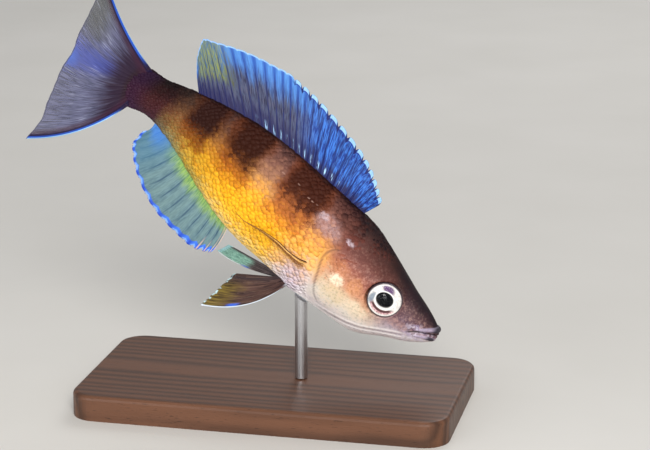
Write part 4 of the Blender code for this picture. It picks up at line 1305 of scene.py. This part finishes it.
def ray_rods(name, lines, look):
    """Tapering rods along the ray lines."""
    places, edges, girth, fan, margins = lines
    made = new_piece(name, to_world(places), [], edges=edges)
    add_attribute(made.data, 'girth', girth * MM, kind='FLOAT')
    add_attribute(made.data, 'fan', fan)
    add_attribute(made.data, 'edges', margins)
    grow(made, rods_along_lines, Finish=look)
    return made


rods_along_lines = ray_tree()
print("tree rods_along_lines has", len(rods_along_lines.nodes), "nodes")

# %% [markdown]
# ## Colours of the fins
# The dorsal fin is blue with a violet middle, pale dots near its root and pale tips. The anal fin is
# grey-blue with a blue edge. The tail is maroon at its root and lavender beyond, with blue bands along
# both edges. The pelvic fins are brown and gold with a white leading edge. The colours follow the place
# along the fin and out along its rays, which each membrane and ray carries, so both agree.

# %% Painters of the unpaired fins
class Fan:
    """What a fin's painter reads: the place on the fin, its edges and streaks along its rays."""

    def __init__(self, nodes, rays):
        self.nodes = nodes
        self.p, self.t, self.between = nodes.parts('fan')
        self.lead, self.trail, self.margin = nodes.parts('edges')
        self.cloud = nodes.noise(0.002, 4.0, 0.6)
        self.streak = self.along(rays * 3.0, 2.5)
        self.fine = self.along(rays * 9.0, 6.0)

    def along(self, across, out):
        """Noise that is drawn out along the rays."""
        at = self.nodes.node('ShaderNodeCombineXYZ', {}, {0: self.p * across, 1: self.t * out})
        return self.nodes.node('ShaderNodeTexNoise', {}, {'Vector': at, 'Scale': 1.0, 'Detail': 3.0})


def dorsal_colour(nodes):
    fan = Fan(nodes, 29)
    p, t, streak, fine = fan.p, fan.t, fan.streak, fan.fine
    high = t + (streak - 0.5) * 0.5
    paint = nodes.mix('122E80', '3A74CC', fine.rise(0.38, 0.62))
    paint = paint.lay('161C4C', streak.rise(0.54, 0.44) * p.rise(0.45, 0.35) * 0.5)
    soft = p.rise(0.3, 0.46)
    grey = nodes.mix('242034', '4E5872', fine.rise(0.35, 0.65))
    paint = paint.lay(grey, soft * high.rise(0.95, 0.5) * 0.95)
    paint = paint.lay('4C4250', soft * high.band(0.2, 0.6, 0.15) * fine.rise(0.5, 0.6) * 0.6)
    sky = nodes.mix('2A58AC', '548ED2', fan.between.rise(0.1, 0.7) * (fine * 0.8 + 0.5))
    paint = paint.lay(sky, soft * high.rise(0.5, 1.0) * 0.9)
    paint = paint.lay(nodes.mix('181230', '28285C', fine), high.rise(0.36, 0.1) * 0.9)
    olive = p.rise(0.66, 0.76) * p.rise(0.97, 0.89) * high.rise(0.3, 0.5)
    paint = paint.lay(nodes.mix('8E9630', '3E6080', fine.rise(0.42, 0.58)), olive * 0.85)
    paint = paint.lay('10144A', fan.between.rise(0.3, 0.05) * t.rise(1.0, 0.6) * 0.7)
    dashes = (t + p * 0.1).band(0.1, 0.2, 0.03) * p.band(0.2, 0.62, 0.03) * fan.between.rise(0.6, 0.9)
    paint = paint.lay('A8D4FC', dashes * fine.rise(0.45, 0.62))
    spiny = p.rise(0.47, 0.43)
    paint = paint.lay('122C88', fan.margin.band(0.9, 1.25, 0.12) * spiny * 0.85)
    paint = paint.lay('101C5C', fan.margin.rise(1.3, 1.1) * fan.between.rise(0.62, 0.82) * spiny)
    tips = nodes.mix('6CA4E0', 'A8D0E8', fine)
    paint = paint.lay(tips, fan.margin.rise(1.0, 0.85) * fan.between.rise(0.72, 0.55) * spiny)
    paint = paint.lay('90C0F8', fan.margin.rise(0.4, 0.2) * p.rise(0.43, 0.47))
    return paint, t.rise(1.1, 0.3) * 0.1 + 0.88 - olive * 0.12


def anal_colour(nodes):
    fan = Fan(nodes, 14)
    p, t, fine = fan.p, fan.t, fan.fine
    paint = nodes.mix('526E76', '66838A', fine.rise(0.35, 0.65))
    paint = paint.lay('74908E', fan.between.rise(0.35, 0.9) * 0.4)
    thin = fan.between.rise(0.17, 0.05) * t.rise(0.08, 0.2) * t.rise(0.95, 0.5)
    paint = paint.lay('2C4862', thin * 0.8)
    green = (t + fan.streak * 0.35).rise(0.52, 0.2) * p.rise(0.85, 0.6)
    paint = paint.lay(nodes.mix('5E8A3C', '98B83E', fine.rise(0.3, 0.7)), green * 0.8)
    paint = paint.lay('40708E', p.rise(0.6, 0.8) * 0.6)
    rear = p.rise(0.7, 0.88) * (t + fan.streak * 0.3).rise(0.75, 0.35)
    paint = paint.lay(nodes.mix('2458B4', '4888D4', fine), rear * 0.75)
    wide = p.rise(0.75, 0.2) * 0.75 + 0.6
    edge = (fan.margin + fan.cloud * 0.3).rise(wide + 0.35, wide)
    paint = paint.lay(nodes.mix('1A44C0', '3C78EC', fan.between), edge * 0.95)
    spine = fan.between.rise(0.24, 0.1) * p.rise(0.23, 0.2)
    paint = paint.lay('D8B8A8', spine * t.rise(0.5, 0.9) * 0.75)
    dashes = fan.margin.rise(0.55, 0.3) * fan.between.rise(0.3, 0.6) * (0.6 + fan.streak * 0.5)
    paint = paint.lay('8CB8FC', dashes)
    paint = paint.lay('E0C0B4', fan.lead.rise(0.4, 0.2) * 0.9)
    paint = paint.lay('C8B49C', fan.lead.band(0.9, 1.2, 0.1) * 0.5)
    return paint, t.rise(1.1, 0.2) * 0.1 + 0.86


def tail_colour(nodes):
    fan = Fan(nodes, 17)
    p, t, streak, fine = fan.p, fan.t, fan.streak, fan.fine
    paint = nodes.mix('3E4058', '6A6C8A', fine.rise(0.3, 0.65))
    paint = paint.lay('54564E', p.rise(0.36, 0.2) * t.rise(0.5, 0.85) * 0.7)
    upper = (p - t * 0.12 + (streak - 0.5) * 0.2).band(0.24, 0.42, 0.07) * t.rise(0.12, 0.45)
    paint = paint.lay('3A4AA4', upper * (fine * 0.9 + 0.2))
    # painted glints: pale flecks along the rays where they catch the light
    paint = paint.lay('C4C8D8', (fine + streak).rise(1.16, 1.3) * t.rise(0.3, 0.5) * 0.2)
    paint = paint.lay('4468C4', p.band(0.43, 0.53, 0.05) * fan.margin.rise(3.0, 0.0) * 0.8)
    root = (t + (streak - 0.5) * 0.5).rise(0.62, 0.2)
    paint = paint.lay(nodes.mix('12081A', '2A102A', fine), root * 0.96)
    paint = paint.lay('220E1C', t.rise(0.14, 0.05))
    side = fan.lead.least(fan.trail)
    paint = paint.lay('34122A', side.rise(3.2, 1.6) * 0.7)
    paint = paint.lay('160C30', side.rise(1.5, 1.1) * 0.9)
    reach = t.rise(0.05, 0.22)
    paint = paint.lay('1E4AAC', side.rise(0.9, 0.65) * reach)
    pale = fan.trail.rise(0.36, 0.2).most(fan.lead.rise(0.2, 0.1) * 0.6)
    paint = paint.lay('9CCCF4', pale * reach)
    paint = paint.lay('2A2A50', fan.margin.rise(0.3, 0.12) * 0.6)
    return paint, (t.rise(1.0, 0.3) * 0.3 + 0.66).most(side.rise(2.0, 1.2) * 0.96).most(root * 0.98)


def sheet_look(name, painter):
    """A membrane: its colour, how clear it is and its fine wrinkles."""
    def finish(nodes):
        paint, clear = painter(nodes)
        grain = nodes.noise(0.0005, 3.0)
        return {'Base Color': paint, 'Alpha': clear, 'Roughness': grain * 0.2 + 0.36,
                'Normal': nodes.bump(0.4, 0.0001, grain)}
    return material(name, finish, Specular_IOR_Level=0.2, Coat_Weight=0.1, Coat_Roughness=0.2)


def ray_look(name, painter, light, dark, share):
    """Rays: the fin's own colour, turned towards bone or pigment away from the root."""
    def finish(nodes):
        paint, clear = painter(nodes)
        segments = nodes.noise(0.0006, 2.0)
        out = nodes.parts('fan')[1].rise(0.15, 0.55) * share
        return {'Base Color': nodes.mix(paint, nodes.mix(dark, light, segments), out),
                'Roughness': segments * 0.2 + 0.34, 'Alpha': clear.rise(0.0, 0.6)}
    return material(name, finish, Specular_IOR_Level=0.15, Coat_Weight=0.05, Coat_Roughness=0.2)


print("painters of the unpaired fins are ready")

# %% [markdown]
# The three unpaired fins stand in the fish's middle plane and ripple a little, as in still water. Each
# could have its own code, but they differ in numbers alone, so one function makes every fin: a membrane in
# place of the CAD's solid, and the rays that stiffen it.

# %% Dorsal, anal and tail fins
def make_fin(fin, word, surface, painter, rays, spines, rows, scallop, thick, girth, bone, ripple=0.0,
             per_ray=8, square=1.6, steps=22):
    """One fin: its membrane in place of its solid, and its rays. bone is the rays' two colours and how much
    of them shows."""
    slot, rods_name = fin + "_membrane", fin + "_rays" + word
    sheet = membrane(slot + word, surface, rays, rows, scallop, thick, sheet_look(slot + word, painter),
                     ripple, per_ray, square)
    hand_over(sheet, slot, fin + "_fin" + word)
    rods = ray_rods(rods_name, ray_lines(surface, rays, spines, girth, ripple, steps),
                    ray_look(rods_name, painter, *bone))
    hand_over(rods, slot)


make_fin("dorsal", "", dorsal_surface(), dorsal_colour, rays=29, spines=14, rows=30,
         scallop=lambda p: 0.3 + 0.8 * rise(p, 0.48, 0.42), thick=0.09, girth=0.2,
         bone=('2A48A8', '141450', 0.35), ripple=0.25, square=3.0)
make_fin("anal", "", anal_surface(), anal_colour, rays=14, spines=3, rows=26,
         scallop=lambda p: 0.45 + 0.5 * rise(p, 0.3, 0.15), thick=0.09, girth=0.2,
         bone=('7E969C', '587280', 0.2), ripple=0.2)
make_fin("tail", "", tail_surface(), tail_colour, rays=17, spines=0, rows=44,
         scallop=lambda p: 0.06 + 0 * p, thick=0.1, girth=0.17,
         bone=('94808E', '4A3450', 0.3), ripple=0.3, steps=40)

# %% [markdown]
# The pelvic fins hang from the breast, the near one swept back and the far one held out, and their colours
# differ as the photo shows. The pectoral fins are clear but for the lines of their leading edge. They could
# be mirrored, but the two pelvic fins aren't alike, so each side is made from its own numbers.

# %% Paired fins
def pelvic_colour(nodes):
    fan = Fan(nodes, 6)
    p, t, fine = fan.p, fan.t, fan.fine
    paint = nodes.mix('281A1C', '58403A', fan.streak.rise(0.3, 0.7))
    paint = paint.lay('7C6258', fine.rise(0.55, 0.7) * 0.5)
    paint = paint.lay('342C30', p.rise(0.6, 0.9) * 0.7)
    gold = (t + (fan.streak - 0.5) * 0.7).rise(0.62, 0.95) * p.rise(0.85, 0.5)
    paint = paint.lay(nodes.mix('4A3C1C', '86742C', fine.rise(0.35, 0.6)), gold * 0.8)
    paint = paint.lay('3464D4', t.band(0.62, 0.74, 0.04) * fan.lead.band(0.2, 0.9, 0.15))
    paint = paint.lay('C8ECF4', fan.margin.rise(0.5, 0.2) * fan.streak.rise(0.4, 0.55) * 0.9)
    return nodes.mix(paint, 'D4E0EC', fan.lead.rise(0.27, 0.15)), t.rise(1.1, 0.4) * 0.1 + 0.84


def far_pelvic_colour(nodes):
    fan = Fan(nodes, 6)
    p, t, fine = fan.p, fan.t, fan.fine
    paint = nodes.mix('342E32', '6A5E60', fine.rise(0.4, 0.62))
    speckle = nodes.noise(0.0005, 3.0, 0.7)
    sea = nodes.mix('548E7C', 'A8DCC8', (speckle * 0.3 + fine * 0.7).rise(0.4, 0.58))
    paint = paint.lay(sea, (t + fan.streak * 0.2).rise(0.55, 0.7) * p.rise(1.0, 0.75))
    paint = paint.lay('3C70DC', t.band(0.5, 0.6, 0.04) * fan.lead.rise(0.9, 0.5))
    paint = paint.lay('B4F0F4', (fan.margin + speckle * 1.2).rise(1.7, 0.9) * 0.95)
    white = fan.lead.rise(0.6, 0.42) * t.rise(0.5, 0.65)
    return nodes.mix(paint, 'ECF8F8', white), t.rise(1.1, 0.4) * 0.1 + 0.84


def clear_colour(nodes):
    fan = Fan(nodes, 8)
    t = fan.t
    across = fan.lead / (t.rise(0.95, 0.0) * 2.7 + 0.8)
    first, cream = across.rise(0.13, 0.08), across.band(0.21, 0.28, 0.025)
    second = across.band(0.32, 0.68, 0.05)
    paint = nodes.mix('8A5018', 'E8B45C', fan.fine)
    paint = paint.lay(nodes.mix('4A2408', '9A6428', fan.fine.rise(0.38, 0.62)), second)
    paint = paint.lay('F0C47C', cream * t.rise(0.75, 0.35))
    paint = paint.lay('5A3010', cream * t.rise(0.35, 0.75))
    paint = paint.lay('42200C', first)
    rays = fan.lead.rise(4.2, 1.2) * t.rise(0.75, 0.1) * fan.fine.rise(0.48, 0.6) * 0.65
    streaky = second * t.rise(0.02, 0.25) * (fan.fine.rise(0.36, 0.56) * 0.4 + 0.5)
    return paint, (first.most(streaky).most(cream) * t.rise(1.0, 0.9) * 0.9).most(rays + 0.02)


for side, word, rays, painter in ((-1, "_right", RIGHT_PELVIC, pelvic_colour),
                                  (1, "_left", LEFT_PELVIC, far_pelvic_colour)):
    make_fin("pelvic", word, pelvic_surface(side, rays), painter, rays=6, spines=1, rows=36,
             scallop=lambda p: 0.6 + side * 0.3 + 0 * p, thick=0.09, girth=0.24,
             bone=('A89080', '4A302C', 0.3), per_ray=14, steps=30)
    make_fin("pectoral", word, pectoral_surface(side), clear_colour, rays=8, spines=1, rows=24,
             scallop=lambda p: 0.2 + 0 * p, thick=0.06, girth=0.07,
             bone=('D0A050', '6A4010', 0.6), per_ray=24, steps=24)

# %% [markdown]
# ## The stand
# The board is a dark hardwood with long fine grain and a satin oil finish, and the rod is drawn steel,
# brushed along its length. Both keep their CAD solids, which already have their edges softened, and get a
# finish that reads the object's own coordinates, so the grain runs through the board as in real wood.

# %% Wood and steel
def wood_finish(nodes):
    """Dark hardwood: stretched growth rings, fine pores and a hand-rubbed sheen."""
    along = nodes.node('ShaderNodeMapping', {}, {'Vector': nodes.own_place(), 'Scale': (1.0, 9.0, 9.0),
                                                 'Rotation': (0.0, 0.05, 0.06)})
    grain = nodes.noise(0.03, 5.0, 0.6, along)
    rings = nodes.node('ShaderNodeTexWave', {'wave_type': 'RINGS', 'rings_direction': 'X'},
                       {'Vector': along, 'Scale': 14.0, 'Distortion': 5.0, 'Detail': 3.0}, 1)
    pores = nodes.noise(0.0022, 3.0, 0.5, along)
    paint = nodes.mix('3A261C', '6A4632', rings * 0.6 + grain * 0.4)
    paint = paint.lay('1E120C', pores.rise(0.62, 0.72) * 0.7)
    return {'Base Color': paint, 'Roughness': grain * 0.25 + 0.32, 'Normal': nodes.bump(0.25, 0.0002, pores)}


def steel_finish(nodes):
    """Drawn steel rod with fine lines along it."""
    lines = nodes.node('ShaderNodeMapping', {}, {'Vector': nodes.own_place(), 'Scale': (1.0, 1.0, 0.04)})
    brushed = nodes.noise(0.00012, 3.0, 0.6, lines)
    return {'Base Color': nodes.mix('A8A8AC', 'D0D0D2', brushed),
            'Roughness': brushed * 0.2 + 0.2, 'Normal': nodes.bump(0.15, 0.00005, brushed)}


wood = material("stand_wood", wood_finish, Specular_IOR_Level=0.25, Coat_Weight=0.08, Coat_Roughness=0.3)
steel = material("stand_steel", steel_finish, Metallic=1.0)
for node, look in (("stand_base", wood), ("stand_rod", steel)):
    kept = frame["nodes"][node]
    kept.data.materials.clear()
    kept.data.materials.append(look)
print("stand finished")
